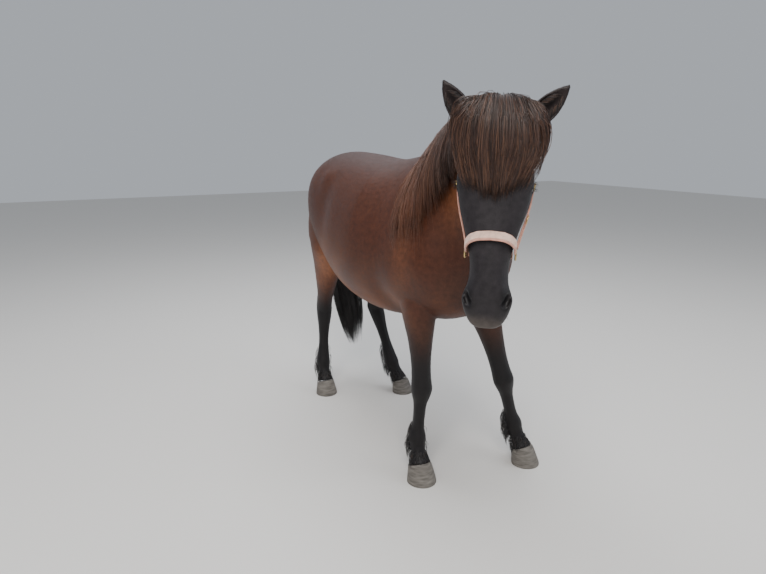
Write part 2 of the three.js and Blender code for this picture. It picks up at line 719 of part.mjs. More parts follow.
for (let i = 0; i < TAIL.locks; i++) {
  const turn = (360 * (i * 7)) / TAIL.locks + 9 * Math.sin(i * 5);
  const from = 0.12 + 0.24 * ((i * 0.38) % 1);
  const to = 0.82 + 0.18 * ((i * 0.62) % 1);
  const points = [0, 0.12, 0.4, 0.7, 1].map((u, k) => {
    const t = from + (to - from) * u;
    const { centre, side, up } = tail.place(t);
    const row = rowAt(tailRows, t);
    const share = [0.55, 0.95, 0.9, 0.8, 0.62][k];
    return centre
      .clone()
      .addScaledVector(side, Math.cos(degrees(turn)) * row.half * share)
      .addScaledVector(up, Math.sin(degrees(turn)) * row.deep * share);
  });
  const facing = at(Math.sin(degrees(turn)), Math.cos(degrees(turn)), 0);
  tailLocks.push(lock(points, facing, TAIL.width, TAIL.thick));
}
node("tail", joined([tail.solid(), ...tailLocks]).subtract(trunk.solid(GAP)).subtract(slab(-100, 5)), POINTS);

// Mane: locks rooted along the crest that fall over the neck, most of them on its right side.
const maneLock = ({ root, side, fall, drift, width, thick, lift }) => {
  const turns = [0, 0.07, 0.3, 0.62, 1].map((u) => 90 + side * (4 + fall * u));
  const lifts = [-16, lift, lift * 0.95, lift * 0.75, lift * 0.5];
  const points = turns.map((turn, k) => trunk.surface(root - drift * (k / 4) ** 1.3, turn, lifts[k]));
  const { centre } = trunk.place(root);
  return lock(points, points[2].clone().sub(centre).normalize(), width, thick);
};
const maneLocks = [];
for (let i = 0; i < 11; i++)
  maneLocks.push(
    maneLock({
      root: 580 + i * 44,
      side: 1,
      fall: 72 + 2.6 * i + 8 * Math.sin(i * 2.3),
      drift: 70 + 12 * Math.sin(i * 1.7),
      width: 76,
      thick: 30,
      lift: 28 + 7 * (i % 2),
    }),
  );
for (let i = 0; i < 5; i++)
  maneLocks.push(
    maneLock({
      root: 606 + i * 92,
      side: 1,
      fall: 56 + 9 * Math.sin(i * 3.1),
      drift: 52,
      width: 62,
      thick: 26,
      lift: 52,
    }),
  );
for (let i = 0; i < 6; i++)
  maneLocks.push(
    maneLock({
      root: 606 + i * 76,
      side: -1,
      fall: 44 + 28 * (i / 5) + 7 * Math.sin(i * 2.7),
      drift: 46,
      width: 76,
      thick: 24,
      lift: 22,
    }),
  );
const headGrown = head.solid(GAP);
const behindCut = cutAt(-1500, GAP);
const maneSolid = joined(maneLocks).subtract(joined([headGrown, ears, trunk.solid(GAP).intersect(behindCut)]));
const neckSolid = trunkSolid.subtract(behindCut).subtract(headGrown);
node("neck", joined([neckSolid, maneSolid]).subtract(halterRoom), COAT);

// Forelock: locks rooted between the ears that fall over the brow and the eyes.
const forelockLock = ({ root, across, to, spread, width, thick, lift }) => {
  const points = [0, 0.1, 0.35, 0.7, 1].map((u, k) => {
    const turn = 90 - across * (0.55 + 0.45 * u ** 0.6) - spread * u;
    return head.surface(root + (to - root) * u, turn, [-14, lift * 0.9, lift, lift * 0.85, lift * 0.6][k]);
  });
  return lock(points, OUT.clone().addScaledVector(LEFT, across / 90).normalize(), width, thick);
};
const forelockLocks = [];
for (let i = 0; i < 7; i++) {
  const across = (i - 3) * 17;
  const to = 236 - Math.abs(i - 3) * 11 + 9 * Math.sin(i * 2.9);
  forelockLocks.push(
    forelockLock({ root: -14, across, to, spread: (i - 3) * 3, width: 50, thick: 20, lift: 25 + 5 * (i % 2) }),
  );
}
for (const sign of [1, -1])
  for (let i = 0; i < 2; i++)
    forelockLocks.push(
      forelockLock({
        root: -10,
        across: sign * (54 + i * 13),
        to: (sign > 0 ? 205 : 190) - i * 26,
        spread: sign * (16 + i * 9),
        width: 46,
        thick: 15,
        lift: 24 + i * 6,
      }),
    );
const neckGrown = trunk.solid(GAP).intersect(cutAt(0, 1500)).subtract(head.solid(-1));
const clearOf = joined([ears, ...openings, halterRoom]);
const forelock = joined(forelockLocks);
node("head", joined([skull, forelock]).subtract(clearOf).subtract(neckGrown), FACE);
for (const feature of features) node(...feature);

const horse = new THREE.Group();
horse.name = "icelandic_horse";
for (const mesh of nodes) horse.add(mesh);
horse.rotation.z = -Math.PI / 2;
horse.position.set(-CENTRE.left, CENTRE.ahead, 0);

export default horse;
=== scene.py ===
"""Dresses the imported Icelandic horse: one skin with its markings, long hair in fine locks, short coat
tufts, eyes, hooves, and the pink webbing halter with its brass.

Sizes in the tables are millimetres in the horse's own directions: ahead, left and up.
"""

import math

import bmesh
import bpy
import numpy as np
from mathutils import Matrix, Vector
from mathutils.bvhtree import BVHTree


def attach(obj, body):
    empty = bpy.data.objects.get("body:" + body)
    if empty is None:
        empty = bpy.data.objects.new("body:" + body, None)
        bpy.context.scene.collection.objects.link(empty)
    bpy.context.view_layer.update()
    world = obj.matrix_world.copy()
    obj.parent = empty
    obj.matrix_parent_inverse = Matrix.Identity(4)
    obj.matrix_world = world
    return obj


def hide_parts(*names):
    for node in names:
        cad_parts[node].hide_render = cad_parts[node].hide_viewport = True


bl_info = {
    "name": "Icelandic horse",
    "version": (1, 0, 0),
    "blender": (4, 5, 0),
    "location": "View3D > Sidebar > Horse",
    "description": "Skin, coat, long hair, eyes, hooves and halter of a life-size Icelandic horse",
    "category": "Object",
}

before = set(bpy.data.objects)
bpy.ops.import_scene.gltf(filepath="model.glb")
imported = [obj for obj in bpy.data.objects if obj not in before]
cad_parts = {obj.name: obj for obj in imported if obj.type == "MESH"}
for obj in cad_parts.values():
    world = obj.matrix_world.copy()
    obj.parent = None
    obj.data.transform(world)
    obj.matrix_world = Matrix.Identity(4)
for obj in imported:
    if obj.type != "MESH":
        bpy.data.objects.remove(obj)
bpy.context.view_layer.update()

MM = 0.001
CENTRE_AHEAD = 139.0
CENTRE_LEFT = 34.0
SIDES = (("left", 1.0), ("right", -1.0))


def to_frame(points):
    """Millimetres ahead, left and up of the horse, as metres in the model's frame."""
    points = np.asarray(points, float)
    moved = [points[..., 1] - CENTRE_LEFT, CENTRE_AHEAD - points[..., 0], points[..., 2]]
    return np.stack(moved, -1) * MM


def to_horse(points):
    """The other way round: frame metres to the horse's millimetres."""
    points = np.asarray(points, float) / MM
    return np.stack([CENTRE_AHEAD - points[..., 1], points[..., 0] + CENTRE_LEFT, points[..., 2]], -1)


def turned(direction):
    """A direction of the horse, turned into the frame."""
    d = np.asarray(direction, float)
    return np.stack([d[..., 1], -d[..., 0], d[..., 2]], -1)


def unit(v):
    return v / np.maximum(np.linalg.norm(v, axis=-1, keepdims=True), 1e-9)


def round_angles(count):
    return 2 * np.pi * np.arange(count) / count


# Body sizes


def smooth_table(rows):
    """A smooth function of the first column that gives the other columns."""
    rows = np.array(rows, float)
    x, y = rows[:, 0], rows[:, 1:]
    low = np.maximum(np.arange(len(x)) - 1, 0)
    high = np.minimum(np.arange(len(x)) + 1, len(x) - 1)
    slope = (y[high] - y[low]) / (x[high] - x[low])[:, None]

    def value(place):
        place = np.clip(np.atleast_1d(np.asarray(place, float)), x[0], x[-1])
        i = np.clip(np.searchsorted(x, place, side="right") - 1, 0, len(x) - 2)
        step = (x[i + 1] - x[i])[:, None]
        u = (place - x[i])[:, None] / step
        u2, u3 = u * u, u * u * u
        ends = y[i] * (2 * u3 - 3 * u2 + 1) + y[i + 1] * (3 * u2 - 2 * u3)
        return ends + step * (slope[i] * (u3 - 2 * u2 + u) + slope[i + 1] * (u3 - u2))

    return value


class Form:
    """A run of oval rings along a line, with swellings, as the solids have them."""

    def __init__(self, first, last, place, size, swell=(), local=None):
        self.first, self.last = first, last
        self.place, self.size = place, size
        self.swell, self.local = swell, local or (lambda p: p.copy())
        self.radii = None

    def rings(self, t, segments, grow=0.0):
        centre, side, up = self.place(t)
        half, top, bottom, sq_top, sq_bottom, thin_top, thin_bottom = self.size(t).T
        angle = round_angles(segments)
        c, v = np.cos(angle)[None], np.sin(angle)[None]
        above = v > 0
        square = np.where(above, sq_top[:, None], sq_bottom[:, None])
        narrow = np.where(above, thin_top[:, None], thin_bottom[:, None])
        across = np.sign(c) * np.abs(c) ** (2 / square) * (1 - narrow * v * v)
        rise = np.sign(v) * np.abs(v) ** (2 / square)
        x = across * (half[:, None] + grow)
        y = rise * (np.where(above, top[:, None], bottom[:, None]) + grow)
        p = centre[:, None] + side[:, None] * x[..., None] + up[:, None] * y[..., None]
        push = np.zeros(p.shape[:2])
        for middle, spread, by in self.swell:
            d = self.local(p)
            if middle[1] > 0:
                d[..., 1] = np.abs(d[..., 1])
            d = (d - np.array(middle, float)) / np.array(spread, float)
            push += by * np.exp(-(d * d).sum(-1))
        return p + unit(p - centre[:, None]) * push[..., None]

    def surface(self, t, turn, lift):
        """Points on the form at places and angles, in degrees from the left side towards up."""
        if self.radii is None:
            self.ts = np.linspace(self.first, self.last, 220)
            self.angles = np.radians(np.arange(0, 362, 2.0))
            centre, side, up = self.place(self.ts)
            off = self.rings(self.ts, 120) - centre[:, None]
            x = (off * side[:, None]).sum(-1)
            y = (off * up[:, None]).sum(-1)
            polar, far = np.arctan2(y, x) % (2 * np.pi), np.hypot(x, y)
            self.radii = np.array(
                [np.interp(self.angles, a, r, period=2 * np.pi) for a, r in zip(polar, far)]
            )
        shape = np.broadcast(t, turn, lift).shape
        t, turn, lift = (np.broadcast_to(a, shape).ravel() for a in (t, turn, lift))
        i = np.clip((t - self.first) / (self.last - self.first), 0, 1) * (len(self.ts) - 1.001)
        angle = np.radians(turn) % (2 * np.pi)
        j = angle / np.radians(2.0)
        i0, j0 = i.astype(int), np.minimum(j.astype(int), len(self.angles) - 2)
        a, b = i - i0, j - j0
        far = (self.radii[i0, j0] * (1 - a) + self.radii[i0 + 1, j0] * a) * (1 - b)
        far += (self.radii[i0, j0 + 1] * (1 - a) + self.radii[i0 + 1, j0 + 1] * a) * b
        centre, side, up = self.place(t)
        out = side * np.cos(angle)[:, None] + up * np.sin(angle)[:, None]
        return (centre + out * (far + lift)[:, None]).reshape(shape + (3,))


def upright(place, top, bottom, half, waist):
    """A row of the trunk whose ring stands upright on the middle line."""
    return (place, place, 0, waist, 0, 0, top - waist, waist - bottom, half)


# place, ahead, left, up, lean, turn, top, bottom, half
TRUNK_ROWS = smooth_table([
    upright(-738, 1180, 1080, 30, 1130),
    upright(-715, 1238, 960, 112, 1100),
    upright(-660, 1290, 880, 172, 1085),
    upright(-560, 1332, 808, 222, 1065),
    upright(-440, 1352, 758, 252, 1050),
    upright(-320, 1350, 690, 268, 1020),
    upright(-180, 1342, 650, 288, 980),
    upright(-30, 1330, 637, 300, 955),
    upright(110, 1328, 638, 300, 950),
    upright(230, 1342, 652, 280, 955),
    upright(330, 1362, 672, 254, 965),
    (420, 406, 0, 972, 7, 0, 392, 284, 240),
    (500, 471, 0, 984, 12, 0, 384, 278, 230),
    (570, 532, 0, 1013, 16, 0, 372, 266, 214),
    (630, 580, 0, 1066, 19.5, -1, 340, 252, 186),
    (685, 612, -2, 1130, 20, -4, 298, 232, 158),
    (735, 641, -8, 1189, 17.5, -9, 260, 205, 134),
    (790, 684, -20, 1237, 13.5, -16, 232, 182, 118),
    (850, 737, -42, 1278, 9, -25, 208, 170, 107),
    (910, 797, -76, 1307, 4.5, -32, 190, 156, 98),
    (970, 857, -116, 1332, 0.5, -36, 170, 142, 90),
    (1030, 912, -157, 1352, -3, -39, 150, 132, 84),
    (1080, 952, -188, 1366, -5, -40, 130, 118, 78),
])
TRUNK_MUSCLES = (
    ((470, 200, 1080), (110, 90, 190), 12),
    ((585, 170, 950), (80, 80, 90), 18),
    ((400, 215, 890), (100, 90, 110), 16),
    ((285, 190, 760), (50, 100, 110), -12),
    ((-300, 215, 1225), (60, 70, 60), 12),
    ((-235, 260, 1090), (80, 80, 120), -14),
    ((-480, 190, 1200), (130, 90, 110), 12),
    ((690, 0, 930), (70, 30, 120), -14),
)


def trunk_place(t):
    row = TRUNK_ROWS(t)
    turn, lean = np.radians(row[:, 4]), np.radians(row[:, 3])
    ahead = np.stack([np.cos(turn), np.sin(turn), 0 * turn], -1)
    side = np.stack([-ahead[:, 1], ahead[:, 0], 0 * turn], -1)
    up = np.array([0, 0, 1.0]) * np.cos(lean)[:, None] - ahead * np.sin(lean)[:, None]
    return row[:, 0:3], side, up


def trunk_size(t):
    row = TRUNK_ROWS(t)
    share = np.clip((np.atleast_1d(t) - 120) / 160, 0, 1)
    same = np.full(len(row), 2.15)
    return np.stack([row[:, 7], row[:, 5], row[:, 6], same, same, 0.36 * share, 0 * share], -1)


TRUNK = Form(-738, 1080, trunk_place, trunk_size, TRUNK_MUSCLES)

POLL = np.array([1034.0, -240.0, 1487.0])
HEAD_TURN = np.array(
    Matrix.Rotation(math.radians(-40), 3, "Z")
    @ Matrix.Rotation(math.radians(-12), 3, "Y")
    @ Matrix.Rotation(math.radians(-1), 3, "X")
)
DOWN, LEFT, OUT = -HEAD_TURN[:, 2], HEAD_TURN[:, 1], HEAD_TURN[:, 0]


def on_head(down, left, out):
    """A point given down the face, to the head's left and out of the face."""
    down, left, out = np.broadcast_arrays(*(np.asarray(v, float) for v in (down, left, out)))
    return POLL + down[..., None] * DOWN + left[..., None] * LEFT + out[..., None] * OUT


def head_local(points):
    d = points - POLL
    return np.stack([d @ DOWN, d @ LEFT, d @ OUT], -1)


# down the face, out, middle, jaw, half, squareness, narrowing below
HEAD_ROWS = smooth_table([
    (-42, -52, -72, -95, 40, 2.1, 0.1),
    (-25, -18, -72, -135, 68, 2.2, 0.1),
    (0, 0, -68, -165, 80, 2.3, 0.15),
    (50, 12, -62, -190, 88, 2.5, 0.3),
    (100, 17, -58, -208, 93, 2.7, 0.4),
    (150, 18, -52, -225, 98, 2.8, 0.42),
    (195, 16, -48, -238, 102, 2.8, 0.42),
    (240, 11, -50, -240, 96, 2.7, 0.4),
    (290, 6, -54, -222, 85, 2.6, 0.38),
    (340, 3, -56, -190, 72, 2.6, 0.35),
    (390, 0, -58, -162, 62, 2.5, 0.3),
    (440, -3, -58, -142, 57, 2.4, 0.25),
    (490, -7, -58, -130, 58, 2.3, 0.2),
    (530, -14, -60, -126, 66, 2.3, 0.2),
    (560, -24, -62, -122, 65, 2.3, 0.2),
    (585, -37, -68, -117, 56, 2.4, 0.15),
    (605, -52, -76, -106, 42, 2.3, 0.1),
    (614, -64, -80, -95, 26, 2.2, 0.1),
])
HEAD_SWELL = (
    ((238, 85, -110), (80, 60, 62), 13),
    ((182, 88, -30), (34, 30, 24), 7),
    ((300, 70, -34), (90, 26, 14), 4),
    ((518, 58, -42), (34, 26, 26), 8),
    ((578, 0, -116), (30, 40, 26), 9),
    ((548, 0, -22), (26, 30, 20), -5),
    ((516, 40, -6), (34, 10, 18), 6),
    ((520, 74, -44), (34, 12, 26), 4),
    ((590, 30, -45), (20, 16, 16), -5),
    ((430, 0, 0), (110, 16, 14), 2.5),
    ((452, 48, -30), (46, 18, 24), -4),
    ((385, 62, -78), (60, 24, 20), -3),
    ((215, 60, 2), (50, 22, 22), -3),
)


def head_place(t):
    t = np.atleast_1d(t)
    row = HEAD_ROWS(t)
    n = len(t)
    return on_head(t, 0 * t, row[:, 1]), np.tile(LEFT, (n, 1)), np.tile(OUT, (n, 1))


def head_size(t):
    row = HEAD_ROWS(t)
    out, mid, jaw, half, square, narrow = row.T
    return np.stack([half, out - mid, mid - jaw, square, 0 * half + 2.1, 0 * half, narrow], -1)


HEAD = Form(-42, 614, head_place, head_size, HEAD_SWELL, head_local)

EYE = (202.0, 88.0, -56.0)
EYE_RADIUS = 21.0
EAR = (16.0, 92.0, -60.0)
EAR_LENGTH = 138.0
# place along the ear, half width, half depth
EAR_ROWS = smooth_table([
    (-0.16, 17, 15), (0, 26, 22), (0.25, 34, 24), (0.5, 32, 20), (0.75, 21, 13), (0.93, 8, 7), (1, 2, 2.5),
])


def eye_frame(sign):
    """Middle of an eye, and its directions: along the lids, across them and outward."""
    outward = unit(LEFT * sign + OUT * 0.35)
    along = unit(DOWN + OUT * 0.3)
    return on_head(EYE[0], sign * EYE[1], EYE[2]), along, np.cross(outward, along), outward


def ear_frame(sign):
    """Root of an ear, and its directions: along it, across it and towards its open side."""
    splay = 0.806 if sign > 0 else 0.5704
    base = on_head(EAR[0], sign * EAR[1], EAR[2])
    rise = unit(DOWN * -0.75 + LEFT * (sign * splay) + OUT * 0.14)
    wide = unit(np.cross(rise, OUT + LEFT * (sign * 0.25)))
    return base, rise, wide, unit(np.cross(wide, rise))


FORE_ROWS = [
    (0, 105, 110, 60), (0.5, 100, 124, 76), (1, 80, 112, 72), (1.2, 70, 94, 64), (1.45, 57, 61, 50),
    (1.7, 45, 46, 42), (1.88, 43, 44, 42), (2, 48, 46, 46), (2.12, 42, 42, 41), (2.28, 30, 37, 30),
    (2.5, 26, 34, 26), (2.75, 27, 36, 27), (2.9, 35, 43, 36), (3, 38, 46, 39), (3.2, 32, 42, 34),
    (3.5, 31, 36, 32), (3.8, 37, 36, 40), (4, 44, 36, 48),
]
HIND_ROWS = [
    (0, 165, 190, 90), (0.5, 175, 195, 98), (1, 135, 165, 86), (1.25, 98, 118, 70), (1.5, 72, 86, 56),
    (1.75, 50, 64, 43), (1.9, 46, 72, 41), (2, 50, 64, 43), (2.15, 46, 47, 40), (2.35, 33, 38, 32),
    (2.6, 28, 34, 28), (2.85, 33, 40, 34), (3, 38, 46, 39), (3.2, 32, 42, 34), (3.5, 31, 36, 32),
    (3.8, 35, 35, 37), (4, 41, 34, 44),
]
# name, sizes, joints from the trunk down, heading, hoof size
LEGS = (
    ("fore_right", FORE_ROWS, [(430, -118, 965), (440, -130, 785), (440, -112, 400), (430, -124, 165),
                               (468, -132, 66)], -4, 1.0),
    ("fore_left", FORE_ROWS, [(440, 118, 965), (468, 150, 780), (514, 258, 396), (516, 330, 165),
                              (556, 350, 66)], 14, 1.0),
    ("hind_right", HIND_ROWS, [(-480, -122, 1100), (-440, -158, 860), (-618, -122, 478), (-588, -148, 165),
                               (-552, -152, 66)], -6, 0.94),
    ("hind_left", HIND_ROWS, [(-470, 122, 1100), (-400, 160, 860), (-556, 174, 462), (-412, 208, 165),
                              (-372, 238, 66)], 16, 0.94),
)


def leg_form(rows, joints, heading):
    """A leg's form: its place counts joints from the trunk down, and its foot points along its heading."""
    joints = np.array(joints, float)
    table = smooth_table(rows)
    turn = math.radians(heading)

    def line(t):
        i = np.clip(t.astype(int), 0, len(joints) - 2)
        return joints[i] + (joints[i + 1] - joints[i]) * (t - i)[:, None]

    def place(t):
        t = np.atleast_1d(np.asarray(t, float))
        along = unit(line(np.minimum(t + 0.22, 4)) - line(np.maximum(t - 0.22, 0)))
        share = turn * np.minimum(t / 4, 1)
        ahead = np.stack([np.cos(share), np.sin(share), 0 * share], -1)
        side = unit(np.cross(along, ahead))
        return line(t), side, unit(np.cross(side, along))

    def size(t):
        fore, back, half = table(t).T
        two = 0 * half + 2.0
        return np.stack([half, fore, back, two, two, 0 * half, 0 * half], -1)

    return Form(0, 4, place, size)


LEG_FORMS = {name: leg_form(rows, joints, heading) for name, rows, joints, heading, _ in LEGS}

HOOF_ROWS = smooth_table([
    (0, 0, 0, 0, 66, 52, 63),
    (0.12, 7, 0.04, -1, 65, 52, 62.5),
    (0.55, 36, 0.2, -9, 56, 48, 57),
    (0.9, 62, 0.4, -16, 48, 44, 51),
    (1, 69, 0.42, -18, 42, 40, 46),
])

TAIL_LINE = smooth_table([
    (0, -686, 0, 1196),
    (0.0567, -738, 4, 1190),
    (0.147, -782, 8, 1110),
    (0.29, -790, 24, 960),
    (0.54, -774, 56, 700),
    (0.795, -738, 92, 430),
    (1, -706, 112, 200),
])
TAIL_SIZE = smooth_table([
    (0, 34, 30),
    (0.1, 36, 34),
    (0.3, 56, 48),
    (0.6, 92, 68),
    (0.85, 90, 58),
    (1, 52, 32),
])


# Settings


def count_property(name, default, least, description):
    return bpy.props.IntProperty(name=name, default=default, min=least, description=description)


def length_property(name, default, description):
    return bpy.props.FloatProperty(
        name=name, default=default, min=0.002, unit="LENGTH", description=description
    )


def tone_property(name, default, description):
    return bpy.props.FloatVectorProperty(
        name=name, default=default, size=3, subtype="COLOR", description=description
    )


class HairSettings(bpy.types.PropertyGroup):
    """How much hair there is, and its colours."""

    mane_strands: count_property("Mane strands", 10000, 100, "Strands in the mane")
    forelock_strands: count_property("Forelock strands", 5200, 100, "Strands in the forelock")
    tail_strands: count_property("Tail strands", 5000, 100, "Strands in the tail")
    feather_strands: count_property("Feather strands", 420, 20, "Strands behind each fetlock")
    coat_tufts: count_property("Coat tufts", 60000, 0, "Short tufts of coat")
    hair_tone: tone_property("Hair", (0.024, 0.011, 0.008), "Mane and forelock")
    copper_tone: tone_property("Copper", (0.22, 0.105, 0.060), "Sun-bleached strands")
    tail_tone: tone_property("Tail", (0.010, 0.0085, 0.009), "Tail and feather")


class SkinSettings(bpy.types.PropertyGroup):
    """Fineness of the skin and its coat colours."""

    voxel: length_property("Fineness", 0.0048, "Size of the skin's smallest form")
    bay: tone_property("Bay", (0.062, 0.0195, 0.0098), "Barrel and neck")
    tan: tone_property("Tan", (0.205, 0.074, 0.031), "Flank, elbow and lower neck")
    points: tone_property("Points", (0.0075, 0.0062, 0.0068), "Black lower legs")
    face: tone_property("Face", (0.019, 0.016, 0.018), "Charcoal face")
    lips: tone_property("Lips", (0.085, 0.068, 0.058), "Paler upper lip")


class HalterSettings(bpy.types.PropertyGroup):
    """Sizes and colours of the halter."""

    nose_width: length_property("Noseband", 0.034, "Width of the padded noseband")
    strap_width: length_property("Straps", 0.016, "Width of the cheek straps")
    webbing: tone_property("Webbing", (0.72, 0.36, 0.27), "Pale salmon webbing")
    brass: tone_property("Brass", (0.60, 0.43, 0.19), "Worn brass")


# Materials


def add_node(tree, kind, **values):
    """A node with values on its own sockets, whose names are written with underscores."""
    made = tree.nodes.new("ShaderNode" + kind)
    for socket, value in values.items():
        made.inputs[socket.replace("_", " ")].default_value = value
    return made


def add_noise(tree, scale, detail=2.0, stretch=(1.0, 1.0, 1.0)):
    """Noise on the piece's own coordinates, which may be stretched first."""
    place = add_node(tree, "TexCoord")
    mapping = add_node(tree, "Mapping", Scale=stretch)
    noise = add_node(tree, "TexNoise", Scale=scale, Detail=detail)
    tree.links.new(place.outputs["Object"], mapping.inputs["Vector"])
    tree.links.new(mapping.outputs["Vector"], noise.inputs["Vector"])
    return noise


def add_range(tree, value, low, high, first=0.0, last=1.0):
    """The value, carried from one range to another."""
    level = add_node(tree, "MapRange", From_Min=first, From_Max=last, To_Min=low, To_Max=high)
    tree.links.new(value, level.inputs["Value"])
    return level.outputs["Result"]


def add_tones(tree, value, dark, light, first=0.0, last=1.0):
    """A colour between two tones, by a value."""
    tint = add_node(tree, "ValToRGB")
    for stop, tone, place in zip(tint.color_ramp.elements, (dark, light), (first, last)):
        stop.position = place
        stop.color = (*tone, 1)
    tree.links.new(value, tint.inputs["Fac"])
    return tint.outputs["Color"]


def add_product(tree, operation, value, factor):
    """A value multiplied by a number or by another value; a third can be added to it."""
    both = add_node(tree, "Math")
    both.operation = operation
    tree.links.new(value, both.inputs[0])
    if isinstance(factor, float):
        both.inputs[1].default_value = factor
    else:
        tree.links.new(factor, both.inputs[1])
    return both


def coat_grain_group():
    """Fine hair grain and soft mottling: changes a colour, and gives a height and a roughness."""
    if "Coat grain" in bpy.data.node_groups:
        return bpy.data.node_groups["Coat grain"]
    tree = bpy.data.node_groups.new("Coat grain", "ShaderNodeTree")
    for name, way, kind in (
        ("Colour", "INPUT", "Color"),
        ("Mottle", "INPUT", "Float"),
        ("Colour", "OUTPUT", "Color"),
        ("Height", "OUTPUT", "Float"),
        ("Roughness", "OUTPUT", "Float"),
    ):
        tree.interface.new_socket(name=name, in_out=way, socket_type="NodeSocket" + kind)
    link = tree.links.new
    came, gone = tree.nodes.new("NodeGroupInput"), tree.nodes.new("NodeGroupOutput")
    fine = add_noise(tree, 700.0, 3.0, (1.0, 0.45, 0.3)).outputs["Fac"]
    patches = add_noise(tree, 55.0, 5.0)
    patches.inputs["Roughness"].default_value = 0.46
    patches = patches.outputs["Fac"]
    both = add_product(tree, "MULTIPLY_ADD", fine, 0.55)
    link(patches, both.inputs[2])
    tint = add_node(tree, "Mix")
    tint.data_type = "RGBA"
    tint.blend_type = "MULTIPLY"
    mix_share, mix_first, mix_second = tint.inputs[0], tint.inputs[6], tint.inputs[7]
    link(came.outputs["Mottle"], mix_share)
    link(came.outputs["Colour"], mix_first)
    link(add_range(tree, both.outputs[0], 0.55, 1.5, 0.45, 1.05), mix_second)
    link(tint.outputs[2], gone.inputs["Colour"])
    link(fine, gone.inputs["Height"])
    link(add_range(tree, patches, 0.38, 0.58), gone.inputs["Roughness"])
    return tree


def new_material(name):
    """A material with its shader and output, cleared of anything else."""
    material = bpy.data.materials.new(name)
    material.use_nodes = True
    nodes = material.node_tree.nodes
    nodes.clear()
    shader = nodes.new("ShaderNodeBsdfPrincipled")
    out = nodes.new("ShaderNodeOutputMaterial")
    material.node_tree.links.new(shader.outputs["BSDF"], out.inputs["Surface"])
    return material, material.node_tree, shader


def add_bump(tree, shader, height, distance, strength):
    bump = tree.nodes.new("ShaderNodeBump")
    bump.inputs["Distance"].default_value = distance
    bump.inputs["Strength"].default_value = strength
    tree.links.new(height, bump.inputs["Height"])
    tree.links.new(bump.outputs["Normal"], shader.inputs["Normal"])


def coat_material(name, attribute, mottle, sheen, bump):
    """Short coat whose colour is read from the piece's own attribute."""
    material, tree, shader = new_material(name)
    colour = tree.nodes.new("ShaderNodeAttribute")
    colour.attribute_name = attribute
    grain = tree.nodes.new("ShaderNodeGroup")
    grain.node_tree = coat_grain_group()
    grain.inputs["Mottle"].default_value = mottle
    tree.links.new(colour.outputs["Color"], grain.inputs["Colour"])
    tree.links.new(grain.outputs["Colour"], shader.inputs["Base Color"])
    tree.links.new(grain.outputs["Roughness"], shader.inputs["Roughness"])
    shader.inputs["Sheen Weight"].default_value = sheen
    shader.inputs["Sheen Roughness"].default_value = 0.45
    shader.inputs["Sheen Tint"].default_value = (0.72, 0.78, 0.9, 1.0)
    shader.inputs["Specular IOR Level"].default_value = 0.26
    if bump:
        add_bump(tree, shader, grain.outputs["Height"], 0.0009, bump)
    return material


def strand_material(name, sheen, roughness):
    """Long hair: colour from the strands, a soft gloss."""
    material, tree, shader = new_material(name)
    colour = tree.nodes.new("ShaderNodeAttribute")
    colour.attribute_name = "strand"
    gloss = add_range(tree, add_noise(tree, 38.0).outputs["Fac"], roughness - 0.08, roughness + 0.1)
    tree.links.new(gloss, shader.inputs["Roughness"])
    tree.links.new(colour.outputs["Color"], shader.inputs["Base Color"])
    shader.inputs["Sheen Weight"].default_value = sheen
    shader.inputs["Specular IOR Level"].default_value = 0.55
    return material


# Mesh helpers

# A piece has to stay under 200,000 triangles.
MOST_TRIANGLES = 185000


def place_object(name, mesh, material=None):
    """A smooth-shaded object of a mesh, linked to the scene."""
    obj = bpy.data.objects.new(name, mesh)
    bpy.context.scene.collection.objects.link(obj)
    if material:
        mesh.materials.append(material)
    mesh.polygons.foreach_set("use_smooth", np.ones(len(mesh.polygons), bool))
    return obj


def finish_piece(obj):
    """Lets a piece ride on the model's one body."""
    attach(obj, "root")
    return obj


def add_tube(bm, rings):
    """Rings of frame points become a closed tube: a grid, welded along its seam, with filled ends."""
    count, around = rings.shape[:2]
    made = bmesh.ops.create_grid(bm, x_segments=around, y_segments=count - 1, size=1.0)["verts"]
    for vert in made:
        i = round((vert.co.y + 1) / 2 * (count - 1))
        k = round((vert.co.x + 1) / 2 * around) % around
        vert.co = rings[i, k]
    bmesh.ops.remove_doubles(bm, verts=made, dist=1e-6)
    open_edges = [e for e in bm.edges if e.is_boundary]
    bmesh.ops.holes_fill(bm, edges=open_edges, sides=0)


def add_egg(bm, centre, directions, halves, detail=4):
    """An egg-shaped closed form with half sizes along three directions, in millimetres."""
    made = bmesh.ops.create_icosphere(bm, subdivisions=detail, radius=1.0)["verts"]
    basis = np.array([unit(np.array(d, float)) * h for d, h in zip(directions, halves)])
    for vert in made:
        vert.co = to_frame(np.array(centre) + np.array(vert.co) @ basis)


def mesh_from(bm, name):
    bmesh.ops.recalc_face_normals(bm, faces=bm.faces)
    mesh = bpy.data.meshes.new(name)
    bm.to_mesh(mesh)
    bm.free()
    return mesh


def object_from(name, bm, material=None):
    return place_object(name, mesh_from(bm, name), material)


def tube_object(name, rings, material=None):
    bm = bmesh.new()
    add_tube(bm, rings)
    return object_from(name, bm, material)


def add_boolean(obj, other, operation, use_self=False):
    step = obj.modifiers.new(operation, "BOOLEAN")
    step.operation = operation
    step.solver = "EXACT"
    step.use_self = use_self
    step.object = other


def applied(obj):
    """The object's mesh with its modifiers applied, and the object removed."""
    graph = bpy.context.evaluated_depsgraph_get()
    mesh = bpy.data.meshes.new_from_object(obj.evaluated_get(graph), depsgraph=graph)
    old = obj.data
    bpy.data.objects.remove(obj)
    bpy.data.meshes.remove(old)
    return mesh


def vertex_places(mesh):
    places = np.empty(len(mesh.vertices) * 3)
    mesh.vertices.foreach_get("co", places)
    return places.reshape(-1, 3)


